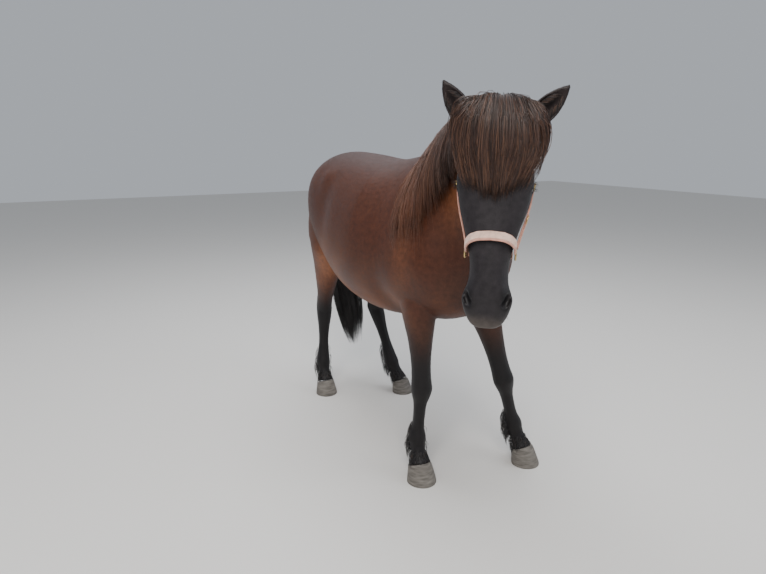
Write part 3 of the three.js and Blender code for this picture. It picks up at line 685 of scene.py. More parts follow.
def vertex_normals(mesh):
    normals = np.empty(len(mesh.vertices) * 3)
    mesh.vertices.foreach_get("normal", normals)
    return normals.reshape(-1, 3)


def paint(mesh, name, colours):
    layer = mesh.attributes.new(name, "FLOAT_COLOR", "POINT")
    rgba = np.ones((len(colours), 4))
    rgba[:, :3] = colours
    layer.data.foreach_set("color", rgba.ravel())


# Markings, painted shade, painted sheen and painted ground reflection


# Tan patches of the coat; the band along the bottom of the belly is partly tan coat and partly painted
# reflection of the ground.
# share, middle, spread
TAN_AND_BELLY_REFLECTION_PATCHES = (
    (1.1, (-340, 235, 740), (150, 95, 110)),
    (1.0, (-80, 225, 695), (350, 105, 65)),
    (0.55, (-200, 280, 860), (240, 90, 130)),
    (0.6, (330, 215, 745), (75, 90, 80)),
    (0.35, (470, 250, 1010), (60, 80, 160)),
    (0.4, (-600, 190, 1010), (90, 90, 220)),
)
WARM_THROAT = (
    (0.9, (700, -140, 1215), (80, 70, 95)),
    (0.8, (800, -190, 1250), (110, 90, 105)),
    (0.6, (845, -25, 1250), (110, 60, 95)),
)
# Painted shade in the eye sockets, nostrils, and the corners and front of the mouth, in the head's own
# directions
PAINTED_SHADE_HOLLOWS = (
    (1.0, (203, 96, -56), (38, 30, 26)),
    (1.1, (528, 55, -28), (34, 20, 27)),
    (0.7, (560, 56, -91), (44, 14, 5)),
    (0.7, (604, 0, -91), (20, 50, 5)),
)
# Greyer tone for the top of the back: a painted sheen of the sky on the back.
PAINTED_BACK_SHEEN = np.array([0.055, 0.040, 0.038])


def near(p, middle, spread, mirror=True):
    """How near points are to a middle, from 1 down to 0, on both sides alike where mirrored."""
    d = p.copy()
    if mirror:
        d[:, 1] = np.abs(d[:, 1])
    d = (d - np.array(middle, float)) / np.array(spread, float)
    return np.exp(-(d * d).sum(-1))


def patches(p, rows, mirror=True):
    return sum(share * near(p, middle, spread, mirror) for share, middle, spread in rows)


def ramp(x, low, high):
    """A smooth step from 0 at low to 1 at high, which may lie below it."""
    u = np.clip((x - low) / (high - low), 0, 1)
    return u * u * (3 - 2 * u)


def blend(colour, other, share):
    return colour + (other - colour) * share[:, None]


def coat_colour(p, settings):
    """Colour of the coat at points in the horse's millimetres, with painted shade, a painted sheen and
    painted ground reflection in it.
    """
    bay, tan, points, face, lips = (
        np.array(getattr(settings, name)) for name in ("bay", "tan", "points", "face", "lips")
    )
    local = head_local(p)
    wave = 0.5 + 0.5 * np.sin(p[:, 0] / 41 + 1.7 * np.sin(p[:, 2] / 57) + p[:, 1] / 63)
    tan_and_ground_reflection = patches(p, TAN_AND_BELLY_REFLECTION_PATCHES) + patches(p, WARM_THROAT, mirror=False)
    # Partly tan coat, partly painted reflection of the ground: the body is made warmer towards the bottom.
    tan_and_ground_reflection += 0.2 * ramp(p[:, 2], 980, 760) * wave
    colour = blend(bay, tan, np.clip(tan_and_ground_reflection * (0.75 + 0.3 * wave), 0, 1))
    # Painted sheen: the top of the back behind the withers is made greyer, as if the sky lit it.
    colour = blend(colour, PAINTED_BACK_SHEEN, 0.55 * ramp(p[:, 2], 1230, 1345) * ramp(p[:, 0], 480, 250))
    black = 1 - ramp(p[:, 2], 470, 700 + 160 * ramp(p[:, 0], 60, 430))
    # Painted shade: the chest between the forelegs is darkened towards the black of the legs.
    shade_between_forelegs = 0.6 * near(p, (640, 0, 880), (90, 130, 130))
    colour = blend(colour, points, np.maximum(black, shade_between_forelegs))
    on_face = (local[:, 0] > -60) & (local[:, 2] > -250) & (np.abs(local[:, 1]) < 150)
    on_face = on_face * ramp(local[:, 2], -230, -120) * ramp(p[:, 0], 850, 950) * ramp(local[:, 0], -40, 90)
    colour = blend(colour, face, on_face)
    pale = ramp(local[:, 0] + 9 * wave, 572, 618) * (local[:, 0] > 500)
    pale += 0.35 * near(local, (560, 50, -78), (34, 30, 22))
    colour = blend(colour, lips, np.clip(pale * 0.8, 0, 1) * (on_face > 0.3))
    ear = np.zeros(len(p))
    for _, sign in SIDES:
        base, rise, _, _ = ear_frame(sign)
        along = (p - base) @ rise
        aside = np.linalg.norm(p - base - along[:, None] * rise, axis=1)
        ear = np.maximum(ear, ramp(along, 5, 45) * (aside < 60))
    colour = blend(colour, points * 1.5, 0.9 * ear)
    # Painted shade: the face is darkened in its hollows, where shade falls.
    dark = np.clip(patches(local, PAINTED_SHADE_HOLLOWS), 0, 1) * (on_face > 0.3)
    return colour * (1 - 0.85 * dark)[:, None]


# Skin


def head_mesh():
    """Head with lids, nostrils and mouth, carved before the skin is drawn over everything."""
    head = tube_object("head_form", to_frame(HEAD.rings(np.linspace(HEAD.first, HEAD.last, 110), 72)))
    lids, cuts = bmesh.new(), bmesh.new()
    for _, sign in SIDES:
        centre, along, across, outward = eye_frame(sign)
        add_egg(lids, centre + outward, (along, across, outward), (29, 24, 25))
        add_egg(cuts, centre + outward * 21 + along * 1.5, (along, across, outward), (20, 12.5, 13))
        slant = (DOWN - LEFT * (0.35 * sign), LEFT * sign + DOWN * 0.35, OUT)
        add_egg(cuts, on_head(524, sign * 60, -24), slant, (31, 11, 27))
        add_egg(cuts, on_head(538, sign * 53, -24), slant, (15, 12, 18))
        add_egg(cuts, on_head(548, sign * 60, -91), (DOWN, LEFT, OUT), (52, 15, 3.4))
    add_egg(cuts, on_head(606, 0, -90), (DOWN, LEFT, OUT), (26, 54, 3.6))
    others = [object_from("cutter", bm) for bm in (lids, cuts)]
    for other, operation in zip(others, ("UNION", "DIFFERENCE")):
        add_boolean(head, other, operation, use_self=True)
    mesh = applied(head)
    for other in others:
        bpy.data.objects.remove(other)
    return mesh


def ear_rings(sign, shift=0.0, thin=0.0, first=-0.16):
    """Rings of one ear from its root to its tip, or of its cup, which is thinner and stands forward."""
    base, rise, wide, deep = ear_frame(sign)
    t = np.linspace(first, 1, 40)
    half, depth = np.maximum(EAR_ROWS(t) - thin, 0.8).T
    angle = round_angles(40)
    centre = base + rise * (t * EAR_LENGTH)[:, None] - wide * (sign * 7 * t * t)[:, None] + deep * shift
    across = wide * (half[:, None] * np.cos(angle))[..., None]
    return centre[:, None] + across + deep * (depth[:, None] * np.sin(angle))[..., None]


class HORSE_OT_skin(bpy.types.Operator):
    """One skin over trunk, neck, head, ears and legs, with its markings and its painted shade, sheen and
    ground reflection.
    """

    bl_idname = "horse.skin"
    bl_label = "Skin"

    def execute(self, context):
        settings = context.scene.horse_skin
        bm = bmesh.new()
        bm.from_mesh(head_mesh())
        add_tube(bm, to_frame(TRUNK.rings(np.linspace(TRUNK.first, TRUNK.last, 130), 84, -2.5)))
        for form in LEG_FORMS.values():
            add_tube(bm, to_frame(form.rings(np.linspace(0, 3.96, 96), 40, -1.5)))
        for _, sign in SIDES:
            ear = tube_object("ear_form", to_frame(ear_rings(sign)))
            cup = tube_object("ear_cup", to_frame(ear_rings(sign, 11, 5.2, 0.1)))
            add_boolean(ear, cup, "DIFFERENCE")
            bm.from_mesh(applied(ear))
            bpy.data.objects.remove(cup)
        skin = object_from("skin_form", bm)
        cover = skin.modifiers.new("cover", "REMESH")
        cover.mode = "VOXEL"
        cover.voxel_size = settings.voxel
        soften = skin.modifiers.new("soften", "SMOOTH")
        soften.factor = 0.5
        soften.iterations = 5
        mesh = applied(skin)
        skin = place_object("skin", mesh)
        triangles = sum(len(p.vertices) - 2 for p in mesh.polygons)
        if triangles > MOST_TRIANGLES:
            # The head keeps its detail, and the rest gives up triangles.
            points = to_horse(vertex_places(mesh))
            on_face = (head_local(points)[:, 0] > -160) & (points[:, 0] > 880) & (points[:, 2] > 800)
            plain = skin.vertex_groups.new(name="plain")
            plain.add(np.nonzero(~on_face)[0].tolist(), 1.0, "REPLACE")
            thin = skin.modifiers.new("thin", "DECIMATE")
            thin.ratio = MOST_TRIANGLES / triangles
            thin.vertex_group = plain.name
            thin.vertex_group_factor = 4.0
            mesh = applied(skin)
            skin = place_object("skin", mesh)
        mesh.materials.clear()
        mesh.materials.append(coat_material("coat", "coat", 0.72, 0.02, 0.6))
        paint(mesh, "coat", coat_colour(to_horse(vertex_places(mesh)), settings))
        finish_piece(skin)
        names = ["torso", "neck", "head", "ear_left", "ear_right"]
        names += [f"{end}leg_{side}" for end in ("fore", "hind") for side in ("left", "right")]
        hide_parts(*names)
        return {"FINISHED"}


# Long hair

SEEDS = {"mane": 11, "forelock": 23, "tail": 37, "feathers": 41, "coat": 53}
BAKE_PATCH = 0.003


def bake_place(points):
    """Place of each root on a flat unwrap of the skin's own shape."""
    local = head_local(points)
    on_face = (points[:, 0] > 900) & (local[:, 0] > -30)
    leg = (points[:, 2] < 700) & (np.abs(points[:, 1]) > 60)
    u = 0.02 + 0.55 * np.clip((points[:, 0] + 900) / 1950, 0, 1)
    v = 0.03 + 0.42 * (np.arctan2(points[:, 1], points[:, 2] - 980) / (2 * np.pi) + 0.5)
    turn = np.arctan2(local[:, 1], local[:, 2] + 90) / (2 * np.pi) + 0.5
    u = np.where(on_face, 0.62 + 0.34 * turn, u)
    v = np.where(on_face, 0.05 + 0.4 * np.clip((local[:, 0] + 60) / 700, 0, 1), v)
    which = (points[:, 0] > 0) * 2 + (points[:, 1] > 60)
    u = np.where(leg, 0.03 + 0.24 * which + 0.2 * ((points[:, 0] % 160) / 160), u)
    v = np.where(leg, 0.52 + 0.44 * np.clip(points[:, 2] / 700, 0, 1), v)
    return np.stack([u, v], -1)


def strand_piece(name, paths, facing, width, colours, material, thick=0.5):
    """One closed, tapering three-sided strand along each path, all in one mesh."""
    n, k = paths.shape[:2]
    centre = to_frame(paths)
    along = unit(np.gradient(centre, axis=1))
    out = turned(facing)
    out = np.broadcast_to(out[:, None], centre.shape)
    side = unit(np.cross(along, out))
    face = unit(np.cross(side, along))
    # A strand is full near its root and runs out to a point.
    share = np.array([0.8] + [1.0] * (k - 2) + [0.0])
    share[2:-1] = np.linspace(1.0, 0.45, k - 3) if k > 3 else 1.0
    w = (np.asarray(width)[:, None] * share * MM / 2)[..., None]
    corners = np.stack([side * w - face * w * thick, -side * w - face * w * thick, face * w * thick], 2)
    ring_points = (centre[:, :-1, None] + corners[:, :-1]).reshape(n, -1, 3)
    points = np.concatenate([ring_points, centre[:, -1:]], 1)
    per = (k - 1) * 3 + 1
    faces = [(2, 1, 0)]
    for i in range(k - 2):
        for c in range(3):
            a, b = i * 3 + c, i * 3 + (c + 1) % 3
            faces.append((a, b, b + 3, a + 3))
    last = (k - 2) * 3
    faces += [(last + c, last + (c + 1) % 3, per - 1) for c in range(3)]
    sizes = np.array([len(f) for f in faces])
    loops = np.concatenate([np.array(f) for f in faces])
    all_loops = (loops[None] + per * np.arange(n)[:, None]).ravel()
    totals = np.tile(sizes, n)
    mesh = bpy.data.meshes.new(name)
    mesh.vertices.add(n * per)
    mesh.vertices.foreach_set("co", points.ravel())
    mesh.loops.add(len(all_loops))
    mesh.loops.foreach_set("vertex_index", all_loops)
    mesh.polygons.add(len(totals))
    mesh.polygons.foreach_set("loop_start", np.concatenate([[0], np.cumsum(totals)[:-1]]))
    mesh.update(calc_edges=True)
    mesh.validate()
    tone = np.repeat(colours, 3, axis=1)[:, : (k - 1) * 3]
    paint(mesh, "strand", np.concatenate([tone, colours[:, -1:]], 1).reshape(-1, 3))
    uv_layer = mesh.uv_layers.new(name="OFBake")
    patch = np.empty((per, 2))
    patch[:-1, 0] = np.repeat(np.arange(k - 1) / (k - 1), 3)
    patch[:-1, 1] = np.tile([0.0, 0.5, 1.0], k - 1)
    patch[-1] = (1.0, 0.5)
    uv = (bake_place(paths[:, 0])[:, None] + patch[None, loops] * BAKE_PATCH).reshape(-1, 2)
    uv_layer.data.foreach_set("uv", uv.ravel())
    return place_object(name, mesh, material)


def strand_pieces(name, paths, facing, width, colours, material):
    """The same, in as many pieces as keep each under the limit on triangles."""
    parts = max(1, math.ceil(len(paths) * paths.shape[1] * 6 / MOST_TRIANGLES))
    for i, group in enumerate(np.array_split(np.arange(len(paths)), parts)):
        label = f"{name}_{i + 1}" if parts > 1 else name
        piece = strand_piece(label, paths[group], facing[group], width[group], colours[group], material)
        finish_piece(piece)


def hair_count(number):
    return int(number * (1))


def strand_colours(rng, count, k, root, tip, bright, share):
    """Colours along each strand: root to tip, with a share of sun-bleached ones."""
    root, tip, bright = (np.array(c) for c in (root, tip, bright))
    u = np.linspace(0, 1, k)[None, :, None] ** 1.2
    level = rng.uniform(0.55, 1.5, (count, 1, 1))
    colours = (root + (tip - root) * u) * level
    pale = (rng.random((count, 1, 1)) < share) * rng.uniform(0.2, 1.0, (count, 1, 1))
    return colours + (bright - colours) * pale * np.clip(0.25 + u, 0, 1)


def spread_in_clumps(rng, count, clumps):
    """Which clump each strand belongs to, and how far off its middle it is."""
    return rng.integers(0, clumps, count), rng.normal(0, 1, count)


POLL_END = 1078
# places along the crest, and how far the hair there stands off the neck
MANE_RISE = ((440, 520, 600, 700, 800, 900, POLL_END), (14, 30, 60, 86, 94, 78, 36))
# name, side, share of the strands, clumps, first root along the crest
MANE_SIDES = (
    ("mane_right", 1, 0.78, 210, 440),
    ("mane_left", -1, 0.22, 70, 520),
)
# shares along a strand, and how far it is lifted there
MANE_LIFT = ((0, 0.045, 0.13, 0.26, 0.6, 1), (-0.1, 0.32, 0.72, 1, 0.8, 0.4))
FORELOCK_LIFT = ((0, 0.035, 0.11, 0.24, 0.55, 0.8, 1), (-0.1, 0.36, 0.8, 1, 0.72, 0.4, 0.16))
FORELOCK_DOME = ((0, 0.1, 0.2, 0.45), (0, 0.8, 1, 0))
# shares along a strand, and how far it is from the tail's middle line
TAIL_SPREAD = ((0, 0.12, 0.5, 1), (0.7, 1.0, 1.0, 0.85))
# places down the leg, and how far behind its middle the feather's roots are
FEATHER_BACK = ((2.66, 2.9, 3, 3.2, 3.45), (33, 42, 45, 41, 37))
# shares along a strand, and how far it bows out and hangs down there
FEATHER_BOW = ((0, 0.2, 0.6, 1), (-8, 4, 11, 7))
FEATHER_HANG = ((0, 0.2, 0.6, 1), (0, 12, 40, 66))
FEATHER_FLOOR = 34
FRINGE_SHARE = 0.8
TUFTS_A_PIECE = 15000


def along_strand(k):
    """Places along a strand, closer together near its root."""
    return np.linspace(0, 1, k)[None] ** 1.6


class HORSE_OT_mane(bpy.types.Operator):
    """Mane: strands in clumps from the crest, most of them over the right side of the neck."""

    bl_idname = "horse.mane"
    bl_label = "Mane"

    def execute(self, context):
        hair = context.scene.horse_hair
        rng = np.random.default_rng(SEEDS["mane"])
        material = strand_material("mane hair", 0.05, 0.42)
        k = 9
        for name, side, share, clumps, root_from in MANE_SIDES:
            count = hair_count(hair.mane_strands * share)
            which, off = spread_in_clumps(rng, count, clumps)
            # Each clump has its own root, fall, drift and lift, and its strands gather towards its tip.
            clump_root = rng.uniform(root_from, POLL_END, clumps)
            clump_fall = rng.normal(0, 8, clumps)
            clump_drift = rng.normal(60, 18, clumps)
            clump_lift = rng.uniform(0.28, 1.0, clumps) ** 0.7
            root = np.clip(clump_root[which] + off * 13, 400, POLL_END + 1)
            span = np.clip((root - 520) / 500, 0, 1)
            fall = 66 + 32 * span if side > 0 else 46 + 34 * span
            fall = fall + clump_fall[which] + rng.normal(0, 4, count)
            fall = fall * np.clip((root - 330) / 190, 0.5, 1) * rng.uniform(0.62, 1.06, count)
            u = along_strand(k)
            gather = 1 - 0.7 * u
            place = clump_root[which][:, None] + (off * 13)[:, None] * gather
            place = place - clump_drift[which][:, None] * u**1.35
            place = place + 5.0 * np.sin(u * 6 + which[:, None]) * u
            place = place + rng.normal(0, 7, count)[:, None] * u**2
            turn = 90 + side * (rng.uniform(-6, 7, count)[:, None] + fall[:, None] * u)
            lift = np.interp(u[0], *MANE_LIFT)[None]
            high = np.interp(root, *MANE_RISE) * (1 if side > 0 else 0.5)
            height = (high * clump_lift[which])[:, None] + rng.uniform(-4, 6, count)[:, None]
            paths = TRUNK.surface(place, turn, np.where(lift < 0, -5, height * lift))
            centre, _, _ = TRUNK.place(root)
            facing = unit(paths[:, 3] - centre)
            width = rng.uniform(1.5, 3.0, count)
            red = (1 - ramp(root, 640, 860))[:, None, None]
            tip = np.array([0.060, 0.025, 0.015]) + red * np.array([0.085, 0.024, 0.008])
            colours = strand_colours(rng, count, k, hair.hair_tone, tip, hair.copper_tone, 0.25)
            # One dark lock lies close to the neck.
            dark = (np.abs(root - 900) < 55) & (clump_lift[which] < 0.72)
            colours = colours * np.where(dark, 0.4, 1.0)[:, None, None]
            strand_pieces(name, paths, facing, width, colours, material)
        return {"FINISHED"}


class HORSE_OT_forelock(bpy.types.Operator):
    """Forelock: strands from between the ears, over the brow and the eyes."""

    bl_idname = "horse.forelock"
    bl_label = "Forelock"

    def execute(self, context):
        hair = context.scene.horse_hair
        rng = np.random.default_rng(SEEDS["forelock"])
        material = strand_material("forelock hair", 0.05, 0.4)
        count = hair_count(hair.forelock_strands)
        clumps, k, half_across = 110, 10, 66
        which, off = spread_in_clumps(rng, count, clumps)
        # Each clump has its own place between the ears, end and lift, and narrows towards its tip.
        clump_across = rng.uniform(-1, 1, clumps)
        clump_to = rng.normal(0, 20, clumps)
        clump_lift = rng.uniform(0.3, 1, clumps) ** 0.7
        spot = np.clip(clump_across[which] + off * 0.04, -1.08, 1.08)
        across = spot * half_across
        to = 246 - 66 * np.abs(spot) ** 1.8 + 12 * spot
        to = to + clump_to[which] - np.abs(rng.normal(0, 34, count))
        u = along_strand(k)
        first = rng.uniform(-40, 14, count)[:, None]
        down = first + (to[:, None] - first) * u
        gather = 1 - 0.72 * u
        middle = clump_across[which][:, None] * half_across
        turn = 90 - (middle + (across[:, None] - middle) * gather) * (0.43 + 0.57 * u**0.45)
        turn = turn - (spot * 12)[:, None] * np.sin(np.pi * u)
        turn = turn + 3.0 * np.sin(u * 5 + which[:, None] * 2.4) * u
        turn = turn + rng.normal(0, 4.6, count)[:, None] * u**2
        lift = np.interp(u[0], *FORELOCK_LIFT)[None]
        high = 56 + 10 * np.abs(spot) ** 2.5
        height = (high * clump_lift[which])[:, None] + rng.uniform(-3, 5, count)[:, None]
        aside = np.abs(spot)[:, None] ** 2.5 * 40 * u * (1 - u)
        paths = HEAD.surface(down, turn, np.where(lift < 0, -4, height * lift + aside))
        # The hair stands up in a low dome over the poll before it falls.
        dome = np.interp(u[0], *FORELOCK_DOME)[None]
        dome = dome * (34 * (1 - 0.6 * spot**2) * clump_lift[which])[:, None]
        paths = paths - DOWN * dome[..., None]
        facing = unit(OUT + LEFT * (across / 90)[:, None])
        tip = (0.050, 0.022, 0.014)
        colours = strand_colours(rng, count, k, hair.hair_tone, tip, hair.copper_tone, 0.3)
        width = rng.uniform(1.3, 2.5, count)
        strand_pieces("forelock", paths, facing, width, colours, material)
        return {"FINISHED"}


class HORSE_OT_tail(bpy.types.Operator):
    """Tail: dock and long black hair down to above the floor."""

    bl_idname = "horse.tail"
    bl_label = "Tail"

    def execute(self, context):
        hair = context.scene.horse_hair
        rng = np.random.default_rng(SEEDS["tail"])
        material = strand_material("tail hair", 0.03, 0.42)
        # The dock runs out inside the hair.
        t = np.linspace(0, 0.4, 30)
        angle = round_angles(28)
        centre = TAIL_LINE(t)
        size = 0.82 * TAIL_SIZE(t) * np.clip((0.42 - t) / 0.16, 0.15, 1)[:, None]
        along = unit(np.gradient(centre, axis=0))
        side = np.array([0, 1.0, 0])
        up = unit(np.cross(along, side))
        rings = centre[:, None] + side * (size[:, :1] * np.cos(angle))[..., None]
        rings = rings + up[:, None] * (size[:, 1:] * np.sin(angle))[..., None]
        dock = tube_object("tail_dock", to_frame(rings))
        tone = np.array(hair.tail_tone)
        paint(dock.data, "coat", np.tile(tone * 1.2, (len(dock.data.vertices), 1)))
        dock.data.materials.append(coat_material("dock coat", "coat", 0.5, 0.04, 0.5))
        finish_piece(dock)
        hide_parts("tail")
        count = hair_count(hair.tail_strands)
        clumps, k = 96, 9
        which, off = spread_in_clumps(rng, count, clumps)
        # Each clump leaves the dock at its own place and side, and ends at its own height.
        clump_turn = rng.uniform(0, 2 * np.pi, clumps)
        clump_from = rng.uniform(0.02, 0.36, clumps)
        clump_to = rng.uniform(0.8, 1.0, clumps)
        clump_far = rng.uniform(0.45, 1.0, clumps)
        u = along_strand(k)
        gather = 1 - 0.5 * u
        turn = clump_turn[which][:, None] + (off * 0.16)[:, None] * gather
        start = np.clip(clump_from[which] + rng.normal(0, 0.02, count), 0.01, 0.38)
        end = np.clip(clump_to[which] + rng.normal(0, 0.025, count), 0.7, 1.0)
        t = start[:, None] + (end - start)[:, None] * u
        far = np.interp(u[0], *TAIL_SPREAD)[None]
        far = far * np.where(u < 0.06, 1.0, clump_far[which][:, None]) + (off * 0.04)[:, None]
        centre = TAIL_LINE(t.ravel()).reshape(count, k, 3)
        size = TAIL_SIZE(t.ravel()).reshape(count, k, 2)
        along = unit(np.gradient(centre, axis=1))
        up = unit(np.cross(along, np.broadcast_to(side, centre.shape)))
        paths = centre + side * (size[..., 0] * np.cos(turn) * far)[..., None]
        paths = paths + up * (size[..., 1] * np.sin(turn) * far)[..., None]
        paths[:, :, 1] += 4 * np.sin(u * 9 + which[:, None]) * u
        facing = unit(paths[:, 4] - centre[:, 4])
        colours = strand_colours(rng, count, k, tone, tone * 1.5, (0.05, 0.03, 0.022), 0.08)
        width = rng.uniform(1.6, 3.2, count)
        strand_pieces("tail_hair", paths, facing, width, colours, material)
        return {"FINISHED"}


class HORSE_OT_feathers(bpy.types.Operator):
    """Feather: tufts behind each fetlock that hang towards the heels."""

    bl_idname = "horse.feathers"
    bl_label = "Feather"

    def execute(self, context):
        hair = context.scene.horse_hair
        rng = np.random.default_rng(SEEDS["feathers"])
        material = strand_material("feather hair", 0.03, 0.5)
        k = 6
        for name, _, _, heading, _ in LEGS:
            count = hair_count(hair.feather_strands)
            turn = math.radians(heading) + np.radians(rng.normal(0, 36, count).clip(-85, 85))
            back = np.stack([-np.cos(turn), -np.sin(turn), 0 * turn], -1)
            t = 3 - rng.uniform(-0.45, 0.34, count)
            form = LEG_FORMS[name]
            start = form.place(t)[0]
            u = np.linspace(0, 1, k)
            deep = np.interp(t, *FEATHER_BACK)[:, None]
            bow = np.interp(u, *FEATHER_BOW)[None]
            hang = np.interp(u, *FEATHER_HANG)[None]
            out = deep + bow * rng.uniform(0.6, 1.2, count)[:, None]
            most = start[:, 2:3] - FEATHER_FLOOR
            drop = np.minimum(hang * rng.uniform(0.5, 1.0, count)[:, None], most)
            paths = start[:, None] + back[:, None] * out[..., None]
            paths[..., 2] -= drop
            # A fringe hangs over the coronet all the way round.
            fringe = int(FRINGE_SHARE * count)
            around = rng.uniform(0, 360, fringe)[:, None]
            low = rng.uniform(3.45, 3.92, fringe)[:, None]
            lift = np.interp(u, [0, 0.3, 1], [-2, 4, 7])[None] * rng.uniform(0.7, 1.5, fringe)[:, None]
            rim = form.surface(low, around, lift)
            rim[..., 2] -= u[None] * rng.uniform(18, 34, fringe)[:, None]
            rim_out = rim[:, 2] - form.place(low[:, 0])[0]
            rim_out[:, 2] = 0
            paths = np.concatenate([paths, rim])
            back = np.concatenate([back, unit(rim_out)])
            count += fringe
            tone = hair.tail_tone
            colours = strand_colours(rng, count, k, tone, tone, (0.07, 0.045, 0.035), 0.15)
            width = rng.uniform(1.6, 2.8, count)
            piece = strand_piece(f"feather_{name}", paths, back, width, colours, material)
            finish_piece(piece)
        return {"FINISHED"}


class HORSE_OT_coat(bpy.types.Operator):
    """Short coat tufts over the whole skin, lying along the coat, and whiskers and ear hair."""

    bl_idname = "horse.coat"
    bl_label = "Short coat"

    def execute(self, context):
        hair, settings = context.scene.horse_hair, context.scene.horse_skin
        rng = np.random.default_rng(SEEDS["coat"])
        total = hair_count(hair.coat_tufts)
        root, normal = self.roots(rng, total)
        face = (head_local(root)[:, 0] > -20) & (root[:, 0] > 900)
        leg = (root[:, 2] < 760) & (np.abs(root[:, 1]) > 55)
        front = (root[:, 0] > 560) & ~face
        lie = np.tile([-0.9, 0.0, -0.42], (total, 1))
        lie[leg] = (-0.12, 0.0, -1.0)
        lie[face] = DOWN
        lie[front] = (-0.35, 0.0, -0.95)
        lie = lie + rng.normal(0, 0.16, (total, 3))
        lie = unit(lie - normal * (lie * normal).sum(-1, keepdims=True))
        length = np.where(face, rng.uniform(4, 8, total), rng.uniform(7, 13, total))
        length = np.where(leg, length * 0.75, length)
        u = np.array([0, 0.5, 1.0])
        rise = np.array([-0.5, 0.55, 0.75])
        paths = root[:, None] + lie[:, None] * (u * length[:, None])[..., None]
        paths = paths + normal[:, None] * (rise * np.where(face, 0.7, 1.0)[:, None])[..., None]
        # Each tuft is lighter than the skin under it by a random share: partly random tone, partly painted
        # highlight, so the tufts read as hairs catching the light.
        tone = coat_colour(root, settings) * rng.uniform(0.9, 1.6, (total, 1))
        colours = np.repeat(tone[:, None], 3, axis=1) * np.array([0.95, 1.0, 1.1])[None, :, None]
        material = coat_material("coat tufts", "strand", 0.35, 0.03, 0.0)
        groups = np.array_split(np.arange(total), max(1, math.ceil(total / TUFTS_A_PIECE)))
        for i, group in enumerate(groups):
            name = f"coat_tufts_{i + 1}"
            width = np.where(face[group], 0.7, 0.95) * rng.uniform(0.8, 1.2, len(group))
            piece = strand_piece(name, paths[group], normal[group], width, colours[group], material, 0.35)
            # The tufts are lit nearly as the skin under them, so they don't stand out as dashes.
            own = vertex_normals(piece.data)
            under = np.repeat(turned(normal[group]), len(own) // len(group), axis=0)
            piece.data.normals_split_custom_set_from_vertices(unit(under + 0.3 * own))
            finish_piece(piece)
        self.ear_hair(hair, rng)
        self.whiskers(rng)
        return {"FINISHED"}

    def roots(self, rng, total):
        """Places spread evenly over the skin, but not on eyes or muzzle, and the skin's normals there."""
        mesh = bpy.data.objects["skin"].data
        mesh.calc_loop_triangles()
        corners = np.empty(len(mesh.loop_triangles) * 3, int)
        mesh.loop_triangles.foreach_get("vertices", corners)
        a, b, c = to_horse(vertex_places(mesh))[corners.reshape(-1, 3)].transpose(1, 0, 2)
        cross = np.cross(b - a, c - a)
        middle = (a + b + c) / 3
        local = head_local(middle)
        eyes = (np.abs(local[:, 0] - EYE[0]) < 30) & (np.abs(local[:, 2] - EYE[2]) < 24)
        bare = (eyes & (np.abs(local[:, 1]) > 70)) | (local[:, 0] > 500) & (np.abs(local[:, 1]) < 90)
        bare |= middle[:, 2] < 78
        weight = np.linalg.norm(cross, axis=1) * ~bare
        pick = rng.choice(len(weight), total, p=weight / weight.sum())
        r1, r2 = np.sqrt(rng.random(total))[:, None], rng.random(total)[:, None]
        root = a[pick] * (1 - r1) + b[pick] * (r1 * (1 - r2)) + c[pick] * (r1 * r2)
        return root, unit(cross)[pick]

    def ear_hair(self, hair, rng):
        """Hair along both edges of each ear's cup, reaching inwards and up."""
        k, count = 5, 320
        u = np.linspace(0, 1, k)
        parts = []
        for _, sign in SIDES:
            base, rise, wide, deep = ear_frame(sign)
            t = rng.uniform(0.02, 0.62, count)
            edge = rng.choice([-1.0, 1.0], count)
            half = np.interp(t, [0, 0.25, 0.5, 0.75], [22, 29, 27, 17])
            start = base + rise * (t * EAR_LENGTH)[:, None] + deep * 5
            start = start + wide * (edge * half * 0.93)[:, None]
            reach = rng.uniform(18, 34, count)
            inward = rise * 0.55 - wide * (edge * 0.55)[:, None]
            inward = inward + deep * rng.uniform(0.05, 0.5, count)[:, None]
            parts.append(start[:, None] + unit(inward)[:, None] * (reach[:, None] * u)[..., None])
        paths = np.concatenate(parts)
        facing = np.tile(OUT, (len(paths), 1))
        tip = (0.035, 0.016, 0.011)
        colours = strand_colours(rng, len(paths), k, hair.tail_tone, tip, hair.copper_tone, 0.12)
        width = rng.uniform(0.9, 1.5, len(paths))
        material = strand_material("ear hair", 0.05, 0.55)
        piece = strand_piece("ear_hair", paths, facing, width, colours, material)
        finish_piece(piece)

